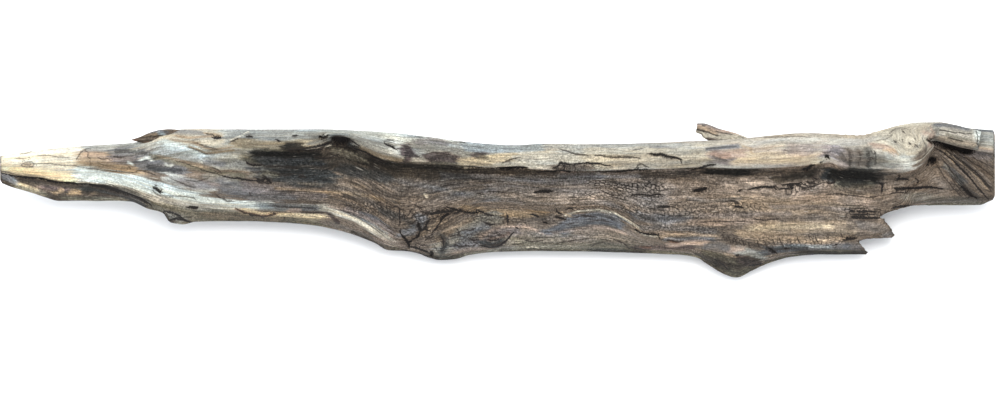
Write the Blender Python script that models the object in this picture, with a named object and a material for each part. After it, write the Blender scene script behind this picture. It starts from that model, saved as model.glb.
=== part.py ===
"""A weathered piece of driftwood: one hollowed length of log, lying on its back.

The wood is drawn in its own face frame, in millimetres, as it looks to someone facing its
hollow side: ALONG runs from the left tip to the right end, UP runs across the open face
towards the thick ridge, and OUT stands out of the face. The piece is then laid back by LEAN,
so that the open face looks up and forwards, and the row frame is in metres with +Z up.
"""

import math

import bmesh
import bpy
import numpy as np

MM = 0.001
LENGTH = 995.0
LEAN = math.radians(70.0)
STATION_COUNT = 96
FACE_SPANS = 11
FACE_SAMPLES = 3
BACK_SAMPLES = 2
# How much of each end ring is drawn in towards its middle, and how far its rim is set back.
END_INSETS = (0.12, 0.06)
END_SETBACK = 1.8

# Where the hollow's floor samples lie between the ridge's foot (0) and the lip (1).
FLOOR_SHARES = (0.07, 0.42, 0.84)
FLOOR_FILLET = 1.5
# How far the last floor sample has risen from the floor to the lip.
LIP_RISE = 0.45
# Where the rail under the lip lies between the lip's lower edge (0) and the bottom edge (1).
UNDER_LIP_SHARE = 0.55
UNDER_LIP_DROP = 1.5
# How many rails a form on the face or the back takes to fade in at its edges.
FADE_START = 0.2
FADE_LENGTH = 1.0

# Where the face frame's own zero lies in the row frame: along, back and up, in millimetres.
FACE_ORIGIN = (-497.5, -2.64, 45.0)

# The rails that every cross-section passes through, each a list of (along, up, out).
TOP_EDGE = (
    (0, 45, -4), (30, 49, -5), (60, 52, -6), (100, 55, -6), (130, 57, -6), (150, 61, -5),
    (166, 68, -4), (185, 71, -2), (250, 71, 4), (320, 71, 8), (360, 69.5, 9), (400, 66.5, 9),
    (430, 63, 9), (460, 59, 9), (490, 56, 9), (515, 55, 9), (545, 56.5, 9), (600, 56, 9),
    (650, 57, 9), (700, 59, 9), (740, 61.5, 9), (775, 65, 9), (800, 67, 9), (830, 66, 9),
    (860, 64.5, 10), (880, 69.5, 10), (900, 75.2, 8), (920, 77.9, 6), (940, 78, 2), (955, 75.5, 0),
    (970, 72, -2), (995, 70, -4),
)
RIDGE_CREST = (
    (0, 41, 3), (60, 46, 4), (130, 50, 5), (166, 60, 8), (200, 61, 13), (250, 62, 20),
    (300, 63, 24), (322, 65, 21), (342, 67, 18), (358, 63, 23), (378, 58, 27), (400, 54, 27),
    (440, 51, 26), (500, 45, 25), (545, 46, 25), (620, 46, 25), (700, 49, 26), (740, 50, 26),
    (800, 54, 27), (845, 52, 25), (880, 54, 27), (905, 56, 28), (920, 57, 27), (930, 60, 20),
    (940, 66, 9), (960, 63, 8), (978, 63, 7), (995, 62, 5),
)
RIDGE_FACE = (
    (0, 37, 5), (60, 41, 8), (130, 44, 9), (166, 52, 9), (200, 54, 13), (250, 55, 20),
    (300, 56, 22), (325, 61, 18), (342, 64, 17), (358, 59, 20), (376, 50, 25), (400, 44, 25),
    (440, 42, 24), (500, 36, 24), (545, 36, 23), (620, 37, 23), (700, 40, 24), (740, 40, 25),
    (800, 42, 25), (830, 45, 23), (850, 38, 24), (880, 38, 26), (905, 38, 27), (920, 41, 25),
    (930, 50, 15), (940, 61, 8), (960, 57, 7), (978, 56, 7), (995, 54, 4),
)
RIDGE_LOW = (
    (0, 35, 6), (60, 37, 9), (130, 38, 10), (166, 45, 9), (200, 50, 10), (231, 51, 12),
    (253, 49.5, 15), (300, 50, 16), (318, 52, 15), (330, 59, 13), (342, 60, 13), (355, 55, 14),
    (370, 47, 15), (385, 40, 16), (400, 36.5, 17), (430, 35.5, 17), (450, 34.5, 16), (470, 33, 16),
    (500, 32.5, 16), (540, 30.5, 16), (580, 29, 16), (620, 30, 16), (660, 31, 16), (700, 32.5, 17),
    (740, 31.5, 17), (770, 32, 17), (800, 34, 17), (830, 37, 16), (845, 31, 17), (860, 29, 18),
    (880, 28, 19), (900, 28, 19), (915, 30, 17), (926, 38, 9), (935, 54, 6), (945, 56, 6),
    (960, 52, 6), (978, 49, 5), (995, 47, 3),
)
LIP = (
    (0, 30, 7), (60, 27, 13), (90, 27, 14), (120, 23, 14), (150, 13, 12), (175, 4, 11),
    (200, -2, 11), (235, -5, 12), (270, -4, 12), (315, -6, 12), (340, -12, 12), (360, -19, 12),
    (375, -28, 12), (388, -38, 11), (398, -43, 6), (410, -40, 3), (430, -33, 5), (455, -20, 9),
    (480, -11, 10), (510, -8, 8), (545, -13, 8), (570, -12, 11), (600, -11, 12), (625, -21, 10),
    (645, -34, 8), (675, -41, 8), (720, -40, 8), (745, -42, 9), (775, -48, 8), (820, -49, 5),
    (870, -48, 2), (900, -34, 1), (915, -2, 0), (995, 4, 0),
)
LIP_LOW = (
    (0, 28, 4), (32, 22, 6), (56, 17.5, 7), (96, 15.5, 8), (125, 7, 8), (150, -3, 7),
    (175, -12, 6), (210, -15, 6), (270, -16, 6), (330, -20, 6), (360, -31, 6), (385, -43, 5),
    (400, -47, 1), (430, -52, 2), (470, -49, 4), (510, -45, 5), (560, -44, 5), (600, -44, 5),
    (650, -47, 4), (690, -51, 3), (715, -60, 3), (737, -67, 3), (760, -60, 3), (790, -54, 1),
    (840, -52, -1), (875, -51, -2), (900, -37, -2), (915, -4, -3), (995, 1, -3),
)
BOTTOM_EDGE = (
    (0, 18, -7), (12, 13, -8), (30, 8, -9), (45, 3, -10), (60, -1, -10), (100, -1, -9),
    (130, -1.5, -8), (148, -9, -7), (163, -13, -7), (170, -22, -7), (183, -24, -7),
    (195, -21.5, -7), (235, -21, -7), (270, -22, -7), (310, -25, -7), (345, -32, -7),
    (375, -43, -7), (388, -50, -8), (405, -51, -10), (417, -53, -11), (430, -58, -11),
    (440, -60, -10), (455, -59, -9), (470, -55, -8), (500, -52, -7), (540, -51, -7),
    (600, -51.5, -7), (640, -53, -7), (680, -55, -7), (697, -58, -7), (708, -65, -6),
    (725, -75, -6), (737, -78, -6), (752, -71, -7), (770, -63, -8), (790, -57, -9),
    (820, -54, -9), (850, -54, -9), (875, -54, -9), (902, -42, -9), (918, -8, -9),
    (935, -5, -9), (980, -5, -9), (988, -2, -9), (995, 1, -9),
)

# The back of the log: how far the rails behind the face stand in from its edges, and how deep.
BELLY_FRONT = (
    (0, 20, -14), (60, 6, -19), (130, 4, -22), (180, -12, -24), (260, -12, -24), (340, -22, -24),
    (400, -40, -25), (440, -47, -26), (540, -40, -26), (660, -42, -26), (737, -62, -25),
    (790, -46, -25), (870, -42, -24), (905, -26, -24), (920, 4, -24), (995, 8, -24),
)
BELLY = (
    (0, 28, -19), (60, 22, -28), (130, 20, -34), (200, 14, -38), (300, 6, -40), (400, -6, -40),
    (500, -8, -41), (620, -8, -40), (740, -12, -40), (860, -8, -40), (920, 20, -40), (995, 26, -38),
)
BACK_LOW = (
    (0, 38, -19), (60, 40, -29), (130, 44, -36), (200, 50, -44), (300, 46, -50), (400, 38, -52),
    (500, 30, -54), (620, 30, -54), (740, 34, -53), (860, 36, -50), (930, 52, -46), (995, 52, -40),
)
BACK = (
    (0, 43, -12), (60, 49, -17), (130, 54, -21), (200, 67, -22), (300, 67, -22), (400, 62, -23),
    (500, 51, -24), (620, 52, -24), (740, 57, -24), (860, 61, -23), (930, 73, -21), (995, 67, -20),
)

# The hollow between the ridge's foot and the lip: how far the ridge is undercut, and the floor.
UNDERCUT = (
    (0, -1.5), (200, -1.5), (250, 4), (300, 4), (330, 1), (352, 1), (385, 6), (420, 8), (700, 8),
    (860, 7), (915, 4), (932, 1), (995, -1.5),
)
FLOOR = (
    (0, 7), (60, 10), (130, 9), (166, 7), (200, 3), (240, -3), (280, -7), (340, -10), (500, -11),
    (700, -11), (820, -10), (870, -8), (915, -5), (935, -6), (960, -5), (995, -1),
)

# Broad forms that stand out of the face or sink into it: along, up, half length, half width,
# turn in degrees, height.
SWELLINGS = (
    (912, 50, 26, 24, 0, 5),
    (470, -28, 46, 13, 48, 6),
    (592, -24, 40, 10, 2, 6),
    (500, -38, 24, 8, 25, 4),
    (728, -52, 30, 9, 15, 3),
    (397, -44, 7, 12, -20, -9),
    (150, 22, 34, 8, -22, -3),
    (385, 48, 26, 9, -18, 4),
)
# Old branch scars and flutes on the back: along, up, half length, half width, turn, height.
BACK_SWELLINGS = (
    (300, 58, 30, 14, 10, 7),
    (455, 40, 60, 10, 6, -4),
    (660, 48, 26, 15, -12, 8),
    (815, 30, 70, 9, -5, -5),
    (905, 62, 24, 16, 0, 6),
    (600, 0, 70, 10, 4, -4),
    (330, 10, 50, 9, -6, -4),
    (100, 40, 40, 8, -5, -3),
)
# The low places underneath that carry the piece: along, up, half length, half width, depth.
FEET = (
    (212, 8, 46, 22, 19),
    (724, -52, 44, 20, 13),
    (560, 34, 56, 20, 10),
)
# The broken twig behind the ridge and the snapped branch at the right: (along, up, out, radius).
TWIG = (
    (757, 52, -1, 3.2), (744, 59.5, -1, 4), (733, 62, -1, 5.5), (720, 63.6, 0, 7.2),
    (709, 67.4, 0, 7.6), (703, 71, 1, 6), (697, 72, 1, 5),
)
BRANCH = (
    (928, 62, 4, 9.5), (938, 65.5, 6, 11.5), (950, 65.0, 7, 11.3), (964, 62.5, 8, 11.0),
    (974, 61.0, 8, 10.6), (977.5, 60.3, 8, 9.6),
)
TWIG_SIDES = 10
BRANCH_SIDES = 14
# The torn flake of the outer layer at the upper left, as its outline, and its two faces' depths.
FLAKE_OUTLINE = (
    (131.5, 60.2), (141, 63.4), (150, 67.2), (158, 69.0), (166, 70.6), (176, 69.5), (180, 60),
    (167, 55.5), (155, 57.0), (144, 57.6),
)
FLAKE_OUT = (-9, 4.5)
# The break across the lower right end, as its outline over the face, and the waste beyond it.
BREAK_OUTLINE = (
    (869, -90), (868, -53.5), (861, -46.5), (857, -41), (866, -38.5), (891, -37.5), (893, -35),
    (890, -28), (882, -19), (878, -17.5), (886, -12.5), (900, -8), (912, -5.5), (926, -4.8),
    (940, -7), (950, -90),
)
BREAK_OUT = (-120, 80)
# Holes that beetles, knots and rot left: along, up, out, and the three half sizes, and the turn.
HOLES = (
    (159, 9, 12, 6.5, 3.0, 9, -35),
    (934.5, 38.5, 6, 4.0, 7.5, 12, 25),
    (955, 50.5, 4, 22, 5.5, 14, -14),
    (332, 61, 18, 12, 5.5, 12, 8),
    (702, 13.5, -10, 8, 2.6, 6, 6),
    (181, -16.5, 5, 7, 2.6, 8, -15),
)
# Half the length and width, and the depth in metres, of the ground that wears the feet flat.
GROUND = (0.6, 0.2, 0.1)
WOOD = (0.42, 0.36, 0.29, 1.0)
WOOD_ROUGHNESS = 0.85


def smooth_along(points, column, along):
    """A smooth curve through a rail's hand-placed points that never overshoots them."""
    table = np.array(points, float)
    x, y = table[:, 0], table[:, column]
    step = np.diff(x)
    rise = np.diff(y) / step
    slope = np.zeros_like(y)
    same_way = rise[:-1] * rise[1:] > 0
    weight_a, weight_b = 2 * step[1:] + step[:-1], step[1:] + 2 * step[:-1]
    with np.errstate(divide="ignore", invalid="ignore"):
        harmonic = (weight_a + weight_b) / (weight_a / rise[:-1] + weight_b / rise[1:])
    slope[1:-1] = np.where(same_way, harmonic, 0.0)
    slope[0], slope[-1] = rise[0], rise[-1]
    i = np.clip(np.searchsorted(x, along) - 1, 0, len(step) - 1)
    h = step[i]
    u = np.clip((along - x[i]) / h, 0.0, 1.0)
    return (
        (1 + 2 * u) * (1 - u) ** 2 * y[i]
        + u * (1 - u) ** 2 * h * slope[i]
        + u * u * (3 - 2 * u) * y[i + 1]
        + u * u * (u - 1) * h * slope[i + 1]
    )


def rail(points, along):
    """(up, out) of a rail at each station."""
    return np.stack([smooth_along(points, 1, along), smooth_along(points, 2, along)], axis=-1)


def section_points(along):
    """The rails that each section's loop runs through, from the top edge round to the back."""
    top, crest, face = rail(TOP_EDGE, along), rail(RIDGE_CREST, along), rail(RIDGE_FACE, along)
    low, lip, lip_low = rail(RIDGE_LOW, along), rail(LIP, along), rail(LIP_LOW, along)
    bottom = rail(BOTTOM_EDGE, along)
    floor, cut = smooth_along(FLOOR, 1, along), smooth_along(UNDERCUT, 1, along)

    def between(share, out):
        return np.stack([low[:, 0] + (lip[:, 0] - low[:, 0]) * share, out], axis=-1)

    under = np.stack([low[:, 0] + cut, (floor + low[:, 1]) / 2], axis=-1)
    hollow_top = between(FLOOR_SHARES[0], floor + FLOOR_FILLET)
    hollow_mid = between(FLOOR_SHARES[1], floor)
    hollow_low = between(FLOOR_SHARES[2], floor + (lip[:, 1] - floor) * LIP_RISE)
    under_lip = lip_low + (bottom - lip_low) * UNDER_LIP_SHARE
    under_lip[:, 1] -= UNDER_LIP_DROP
    loop = [top, crest, face, low, under, hollow_top, hollow_mid, hollow_low, lip, lip_low]
    loop += [under_lip, bottom]
    loop += [rail(points, along) for points in (BELLY_FRONT, BELLY, BACK_LOW, BACK)]
    return np.stack(loop, axis=1)


def closed_spline(points, counts):
    """Rounds each station's ring into a closed curve, with counts samples from rail to rail."""
    before, after = np.roll(points, 1, axis=1), np.roll(points, -1, axis=1)
    reach = np.maximum(np.linalg.norm(after - points, axis=2, keepdims=True), 1e-6) ** 0.5
    reach_before = np.roll(reach, 1, axis=1)
    # The tangent weighs the two chords that meet at a rail, so close rails make a tight bend.
    tangent = (
        (points - before) / reach_before * reach + (after - points) / reach * reach_before
    ) / (reach + reach_before)
    tangent_after, reach_after = np.roll(tangent, -1, axis=1), np.roll(reach, -1, axis=1)
    leaving = tangent * np.minimum(1.0, reach / reach_before)
    arriving = tangent_after * np.minimum(1.0, reach / reach_after)
    samples = []
    for span, count in enumerate(counts):
        u = np.arange(count)[None, :, None] / count
        samples.append(
            (1 + 2 * u) * (1 - u) ** 2 * points[:, span, None]
            + u * (1 - u) ** 2 * leaving[:, span, None]
            + u * u * (3 - 2 * u) * after[:, span, None]
            + u * u * (u - 1) * arriving[:, span, None]
        )
    return np.concatenate(samples, axis=1)


def mound(along, up, form):
    """1 at the middle of an oval form, falling smoothly to nothing a little past its half sizes."""
    middle, height_up, half_along, half_up, turn = form[:5]
    c, s = math.cos(math.radians(turn)), math.sin(math.radians(turn))
    a, b = along - middle, up - height_up
    return np.exp(-(((a * c + b * s) / half_along) ** 2 + ((b * c - a * s) / half_up) ** 2))


def fade(turn, first, last):
    """0 outside the rails first to last, and 1 inside them past a short fade."""
    inside = np.minimum(turn - first, last - turn) - FADE_START
    return np.clip(inside / FADE_LENGTH, 0.0, 1.0)


def body_grid():
    """The log's surface as a grid of stations by loop samples, in the face frame."""
    along = np.linspace(0, LENGTH, STATION_COUNT)
    rails = section_points(along)
    counts = [FACE_SAMPLES] * FACE_SPANS + [BACK_SAMPLES] * (rails.shape[1] - FACE_SPANS)
    loops = closed_spline(rails, counts)
    up, out = loops[..., 0], loops[..., 1]
    stations = np.repeat(along[:, None], up.shape[1], axis=1)
    turn = np.concatenate([k + np.arange(count) / count for k, count in enumerate(counts)])
    last = len(counts)
    facing = fade(turn, 0, FACE_SPANS)
    behind = fade(turn, FACE_SPANS, last)
    for form in SWELLINGS:
        out = out + facing * form[5] * mound(stations, up, form)
    for form in BACK_SWELLINGS:
        out = out - behind * form[5] * mound(stations, up, form)
    for middle, height_up, half_along, half_up, depth in FEET:
        out = out - behind * depth * mound(stations, up, (middle, height_up, half_along, half_up, 0))
    return np.stack([stations, up, out], axis=-1)


def laid_down(points):
    """Face-frame millimetres to row-frame metres, with the open face laid back by LEAN."""
    along, up, out = points[..., 0], points[..., 1], points[..., 2]
    x = along + FACE_ORIGIN[0]
    y = up * math.sin(LEAN) - out * math.cos(LEAN) + FACE_ORIGIN[1]
    z = up * math.cos(LEAN) + out * math.sin(LEAN) + FACE_ORIGIN[2]
    return np.stack([x, y, z], axis=-1) * MM


def mesh_object(name, vertices, faces):
    mesh = bpy.data.meshes.new(name)
    mesh.from_pydata(vertices.tolist(), [], faces)
    tidy = bmesh.new()
    tidy.from_mesh(mesh)
    bmesh.ops.recalc_face_normals(tidy, faces=tidy.faces)
    tidy.to_mesh(mesh)
    tidy.free()
    made = bpy.data.objects.new(name, mesh)
    bpy.context.scene.collection.objects.link(made)
    return made


def ring_faces(count, ring):
    """Quads between each ring of points and the next, and a flat cap over each end ring."""
    faces = [tuple(range(ring)), tuple(range(count * ring - 1, (count - 1) * ring - 1, -1))]
    for i in range(count - 1):
        for j in range(ring):
            k = (j + 1) % ring
            faces.append((i * ring + j, i * ring + k, (i + 1) * ring + k, (i + 1) * ring + j))
    return faces


def closed_tube(name, grid):
    """A closed solid from a grid of rings, its two end rings drawn in to rounded caps."""
    first, last = grid[0], grid[-1]
    inset_first = first + (first.mean(axis=0) - first) * END_INSETS[0]
    inset_last = last + (last.mean(axis=0) - last) * END_INSETS[1]
    rows = np.concatenate([inset_first[None], grid, inset_last[None]])
    rows[1, :, 0] += END_SETBACK
    rows[-2, :, 0] -= END_SETBACK
    return mesh_object(name, laid_down(rows.reshape(-1, 3)), ring_faces(*rows.shape[:2]))


def tapered_limb(name, path, sides):
    """A round limb along a path, square to it at every point, with flat broken ends."""
    path = np.array(path, float)
    centre, radius = path[:, :3], path[:, 3]
    heading = np.gradient(centre, axis=0)
    heading /= np.linalg.norm(heading, axis=1, keepdims=True)
    across = np.cross(heading, (0.0, 0.0, 1.0))
    across /= np.linalg.norm(across, axis=1, keepdims=True)
    over = np.cross(across, heading)
    around = np.linspace(0, 2 * math.pi, sides, endpoint=False)[None, :, None]
    rings = centre[:, None] + radius[:, None, None] * (
        np.cos(around) * across[:, None] + np.sin(around) * over[:, None]
    )
    return mesh_object(name, laid_down(rings.reshape(-1, 3)), ring_faces(len(path), sides))


def combine(body, other, operation):
    """Adds a Boolean to the body and applies it, then removes the other shape."""
    step = body.modifiers.new(other.name, "BOOLEAN")
    step.operation = operation
    step.object = other
    step.solver = "EXACT"
    bpy.context.view_layer.objects.active = body
    bpy.ops.object.modifier_apply(modifier=step.name)
    bpy.data.objects.remove(other, do_unlink=True)


def prism(name, outline, out_low, out_high):
    """A straight-walled block over an outline drawn on the face."""
    corners = [(a, u, out_low) for a, u in outline] + [(a, u, out_high) for a, u in outline]
    n = len(outline)
    faces = [tuple(range(n)), tuple(range(2 * n - 1, n - 1, -1))]
    faces += [(i, (i + 1) % n, n + (i + 1) % n, n + i) for i in range(n)]
    return mesh_object(name, laid_down(np.array(corners, float)), faces)


def egg(name, form, rings=8, sides=12):
    """A closed oval solid with its own turn over the face, for a hole."""
    along, up, out, half_along, half_up, half_out, turn = form
    c, s = math.cos(math.radians(turn)), math.sin(math.radians(turn))
    polar = (np.arange(rings)[:, None] + 0.5) * math.pi / rings
    around = np.linspace(0, 2 * math.pi, sides, endpoint=False)[None]
    a = half_along * np.sin(polar) * np.cos(around)
    b = half_up * np.sin(polar) * np.sin(around)
    h = half_out * np.cos(polar) + 0 * around
    shell = np.stack([along + a * c - b * s, up + a * s + b * c, out + h], axis=-1)
    return mesh_object(name, laid_down(shell.reshape(-1, 3)), ring_faces(rings, sides))


def wood_material():
    material = bpy.data.materials.new("weathered_wood")
    material.use_nodes = True
    shader = material.node_tree.nodes["Principled BSDF"]
    shader.inputs["Base Color"].default_value = WOOD
    shader.inputs["Roughness"].default_value = WOOD_ROUGHNESS
    shader.inputs["Metallic"].default_value = 0.0
    return material


def ground_block():
    """Everything below the surface that the piece lies on, to wear its three feet flat."""
    x, y, depth = GROUND
    corners = [(sx * x, sy * y, z) for sx in (-1, 1) for sy in (-1, 1) for z in (-depth, 0.0)]
    faces = [(0, 1, 3, 2), (4, 6, 7, 5), (0, 4, 5, 1), (2, 3, 7, 6), (0, 2, 6, 4), (1, 5, 7, 3)]
    return mesh_object("ground", np.array(corners), faces)


def clear_scene():
    for old in list(bpy.data.objects):
        bpy.data.objects.remove(old, do_unlink=True)


def main():
    clear_scene()
    body = closed_tube("driftwood", body_grid())
    combine(body, tapered_limb("branch", BRANCH, BRANCH_SIDES), "UNION")
    combine(body, tapered_limb("twig", TWIG, TWIG_SIDES), "UNION")
    combine(body, prism("flake", FLAKE_OUTLINE, *FLAKE_OUT), "UNION")
    combine(body, prism("break", BREAK_OUTLINE, *BREAK_OUT), "DIFFERENCE")
    for number, form in enumerate(HOLES):
        combine(body, egg(f"hole_{number}", form), "DIFFERENCE")
    combine(body, ground_block(), "DIFFERENCE")
    body.data.materials.append(wood_material())


main()
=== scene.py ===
"""The looks of the driftwood: its weathered surface, colours and light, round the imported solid.

Everything is worked out in the wood's face frame, in millimetres, as in the solid's source:
ALONG from the left tip to the right end, UP across the hollow face towards the thick ridge, and
OUT of the face. Marks on the face are placed by ALONG and DOWN, where down = 200 - up.
"""

import math

import bpy
import numpy as np
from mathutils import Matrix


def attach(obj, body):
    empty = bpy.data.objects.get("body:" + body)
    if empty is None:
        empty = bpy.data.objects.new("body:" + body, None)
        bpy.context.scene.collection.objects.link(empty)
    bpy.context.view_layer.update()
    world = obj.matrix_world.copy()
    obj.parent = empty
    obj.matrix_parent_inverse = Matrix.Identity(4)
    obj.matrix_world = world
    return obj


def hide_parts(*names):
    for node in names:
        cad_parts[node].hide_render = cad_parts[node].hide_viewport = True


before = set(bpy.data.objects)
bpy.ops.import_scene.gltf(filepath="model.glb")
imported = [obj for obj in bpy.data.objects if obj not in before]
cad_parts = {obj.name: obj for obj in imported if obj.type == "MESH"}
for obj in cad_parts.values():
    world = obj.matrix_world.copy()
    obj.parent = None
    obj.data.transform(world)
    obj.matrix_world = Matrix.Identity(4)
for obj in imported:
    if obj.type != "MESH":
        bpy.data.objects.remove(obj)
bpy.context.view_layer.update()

MM = 0.001
LENGTH = 995.0
LEAN = math.radians(70.0)
DATUM = 200.0
FACE_ORIGIN = (-497.5, -2.64, 45.0)

# The rails that every cross-section passes through, each a list of (along, up, out).
TOP_EDGE = (
    (0, 45, -4), (30, 49, -5), (60, 52, -6), (100, 55, -6), (130, 57, -6), (150, 61, -5),
    (166, 68, -4), (185, 71, -2), (250, 71, 4), (320, 71, 8), (360, 69.5, 9), (400, 66.5, 9),
    (430, 63, 9), (460, 59, 9), (490, 56, 9), (515, 55, 9), (545, 56.5, 9), (600, 56, 9),
    (650, 57, 9), (700, 59, 9), (740, 61.5, 9), (775, 65, 9), (800, 67, 9), (830, 66, 9),
    (860, 64.5, 10), (880, 69.5, 10), (900, 75.2, 8), (920, 77.9, 6), (940, 78, 2), (955, 75.5, 0),
    (970, 72, -2), (995, 70, -4),
)
RIDGE_CREST = (
    (0, 41, 3), (60, 46, 4), (130, 50, 5), (166, 60, 8), (200, 61, 13), (250, 62, 20),
    (300, 63, 24), (322, 65, 21), (342, 67, 18), (358, 63, 23), (378, 58, 27), (400, 54, 27),
    (440, 51, 26), (500, 45, 25), (545, 46, 25), (620, 46, 25), (700, 49, 26), (740, 50, 26),
    (800, 54, 27), (845, 52, 25), (880, 54, 27), (905, 56, 28), (920, 57, 27), (930, 60, 20),
    (940, 66, 9), (960, 63, 8), (978, 63, 7), (995, 62, 5),
)
RIDGE_FACE = (
    (0, 37, 5), (60, 41, 8), (130, 44, 9), (166, 52, 9), (200, 54, 13), (250, 55, 20),
    (300, 56, 22), (325, 61, 18), (342, 64, 17), (358, 59, 20), (376, 50, 25), (400, 44, 25),
    (440, 42, 24), (500, 36, 24), (545, 36, 23), (620, 37, 23), (700, 40, 24), (740, 40, 25),
    (800, 42, 25), (830, 45, 23), (850, 38, 24), (880, 38, 26), (905, 38, 27), (920, 41, 25),
    (930, 50, 15), (940, 61, 8), (960, 57, 7), (978, 56, 7), (995, 54, 4),
)
RIDGE_LOW = (
    (0, 35, 6), (60, 37, 9), (130, 38, 10), (166, 45, 9), (200, 50, 10), (231, 51, 12),
    (253, 49.5, 15), (300, 50, 16), (318, 52, 15), (330, 59, 13), (342, 60, 13), (355, 55, 14),
    (370, 47, 15), (385, 40, 16), (400, 36.5, 17), (430, 35.5, 17), (450, 34.5, 16), (470, 33, 16),
    (500, 32.5, 16), (540, 30.5, 16), (580, 29, 16), (620, 30, 16), (660, 31, 16), (700, 32.5, 17),
    (740, 31.5, 17), (770, 32, 17), (800, 34, 17), (830, 37, 16), (845, 31, 17), (860, 29, 18),
    (880, 28, 19), (900, 28, 19), (915, 30, 17), (926, 38, 9), (935, 54, 6), (945, 56, 6),
    (960, 52, 6), (978, 49, 5), (995, 47, 3),
)
LIP = (
    (0, 30, 7), (60, 27, 13), (90, 27, 14), (120, 23, 14), (150, 13, 12), (175, 4, 11),
    (200, -2, 11), (235, -5, 12), (270, -4, 12), (315, -6, 12), (340, -12, 12), (360, -19, 12),
    (375, -28, 12), (388, -38, 11), (398, -43, 6), (410, -40, 3), (430, -33, 5), (455, -20, 9),
    (480, -11, 10), (510, -8, 8), (545, -13, 8), (570, -12, 11), (600, -11, 12), (625, -21, 10),
    (645, -34, 8), (675, -41, 8), (720, -40, 8), (745, -42, 9), (775, -48, 8), (820, -49, 5),
    (870, -48, 2), (900, -34, 1), (915, -2, 0), (995, 4, 0),
)
LIP_LOW = (
    (0, 28, 4), (32, 22, 6), (56, 17.5, 7), (96, 15.5, 8), (125, 7, 8), (150, -3, 7),
    (175, -12, 6), (210, -15, 6), (270, -16, 6), (330, -20, 6), (360, -31, 6), (385, -43, 5),
    (400, -47, 1), (430, -52, 2), (470, -49, 4), (510, -45, 5), (560, -44, 5), (600, -44, 5),
    (650, -47, 4), (690, -51, 3), (715, -60, 3), (737, -67, 3), (760, -60, 3), (790, -54, 1),
    (840, -52, -1), (875, -51, -2), (900, -37, -2), (915, -4, -3), (995, 1, -3),
)
BOTTOM_EDGE = (
    (0, 18, -7), (12, 13, -8), (30, 8, -9), (45, 3, -10), (60, -1, -10), (100, -1, -9),
    (130, -1.5, -8), (148, -9, -7), (163, -13, -7), (170, -22, -7), (183, -24, -7),
    (195, -21.5, -7), (235, -21, -7), (270, -22, -7), (310, -25, -7), (345, -32, -7),
    (375, -43, -7), (388, -50, -8), (405, -51, -10), (417, -53, -11), (430, -58, -11),
    (440, -60, -10), (455, -59, -9), (470, -55, -8), (500, -52, -7), (540, -51, -7),
    (600, -51.5, -7), (640, -53, -7), (680, -55, -7), (697, -58, -7), (708, -65, -6),
    (725, -75, -6), (737, -78, -6), (752, -71, -7), (770, -63, -8), (790, -57, -9),
    (820, -54, -9), (850, -54, -9), (875, -54, -9), (902, -42, -9), (918, -8, -9),
    (935, -5, -9), (980, -5, -9), (988, -2, -9), (995, 1, -9),
)
BELLY_FRONT = (
    (0, 20, -14), (60, 6, -19), (130, 4, -22), (180, -12, -24), (260, -12, -24), (340, -22, -24),
    (400, -40, -25), (440, -47, -26), (540, -40, -26), (660, -42, -26), (737, -62, -25),
    (790, -46, -25), (870, -42, -24), (905, -26, -24), (920, 4, -24), (995, 8, -24),
)
BELLY = (
    (0, 28, -19), (60, 22, -28), (130, 20, -34), (200, 14, -38), (300, 6, -40), (400, -6, -40),
    (500, -8, -41), (620, -8, -40), (740, -12, -40), (860, -8, -40), (920, 20, -40), (995, 26, -38),
)
BACK_LOW = (
    (0, 38, -19), (60, 40, -29), (130, 44, -36), (200, 50, -44), (300, 46, -50), (400, 38, -52),
    (500, 30, -54), (620, 30, -54), (740, 34, -53), (860, 36, -50), (930, 52, -46), (995, 52, -40),
)
BACK = (
    (0, 43, -12), (60, 49, -17), (130, 54, -21), (200, 67, -22), (300, 67, -22), (400, 62, -23),
    (500, 51, -24), (620, 52, -24), (740, 57, -24), (860, 61, -23), (930, 73, -21), (995, 67, -20),
)
UNDERCUT = (
    (0, -1.5), (200, -1.5), (250, 4), (300, 4), (330, 1), (352, 1), (385, 6), (420, 8), (700, 8),
    (860, 7), (915, 4), (932, 1), (995, -1.5),
)
FLOOR = (
    (0, 7), (60, 10), (130, 9), (166, 7), (200, 3), (240, -3), (280, -7), (340, -10), (500, -11),
    (700, -11), (820, -10), (870, -8), (915, -5), (935, -6), (960, -5), (995, -1),
)
FLOOR_SHARES = (0.07, 0.42, 0.84)
FLOOR_FILLET = 1.5
LIP_RISE = 0.45
UNDER_LIP_SHARE = 0.55
UNDER_LIP_DROP = 1.5
FADE_START = 0.2
FADE_LENGTH = 1.0
END_SETBACK = 1.8

# Broad forms on the face and on the back: along, up, half length, half width, turn, height.
SWELLINGS = (
    (912, 50, 26, 24, 0, 5),
    (470, -28, 46, 13, 48, 6),
    (592, -24, 40, 10, 2, 6),
    (500, -38, 24, 8, 25, 4),
    (728, -52, 30, 9, 15, 3),
    (397, -44, 7, 12, -20, -9),
    (150, 22, 34, 8, -22, -3),
    (385, 48, 26, 9, -18, 4),
)
BACK_SWELLINGS = (
    (300, 58, 30, 14, 10, 7),
    (455, 40, 60, 10, 6, -4),
    (660, 48, 26, 15, -12, 8),
    (815, 30, 70, 9, -5, -5),
    (905, 62, 24, 16, 0, 6),
    (600, 0, 70, 10, 4, -4),
    (330, 10, 50, 9, -6, -4),
    (100, 40, 40, 8, -5, -3),
)
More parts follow.
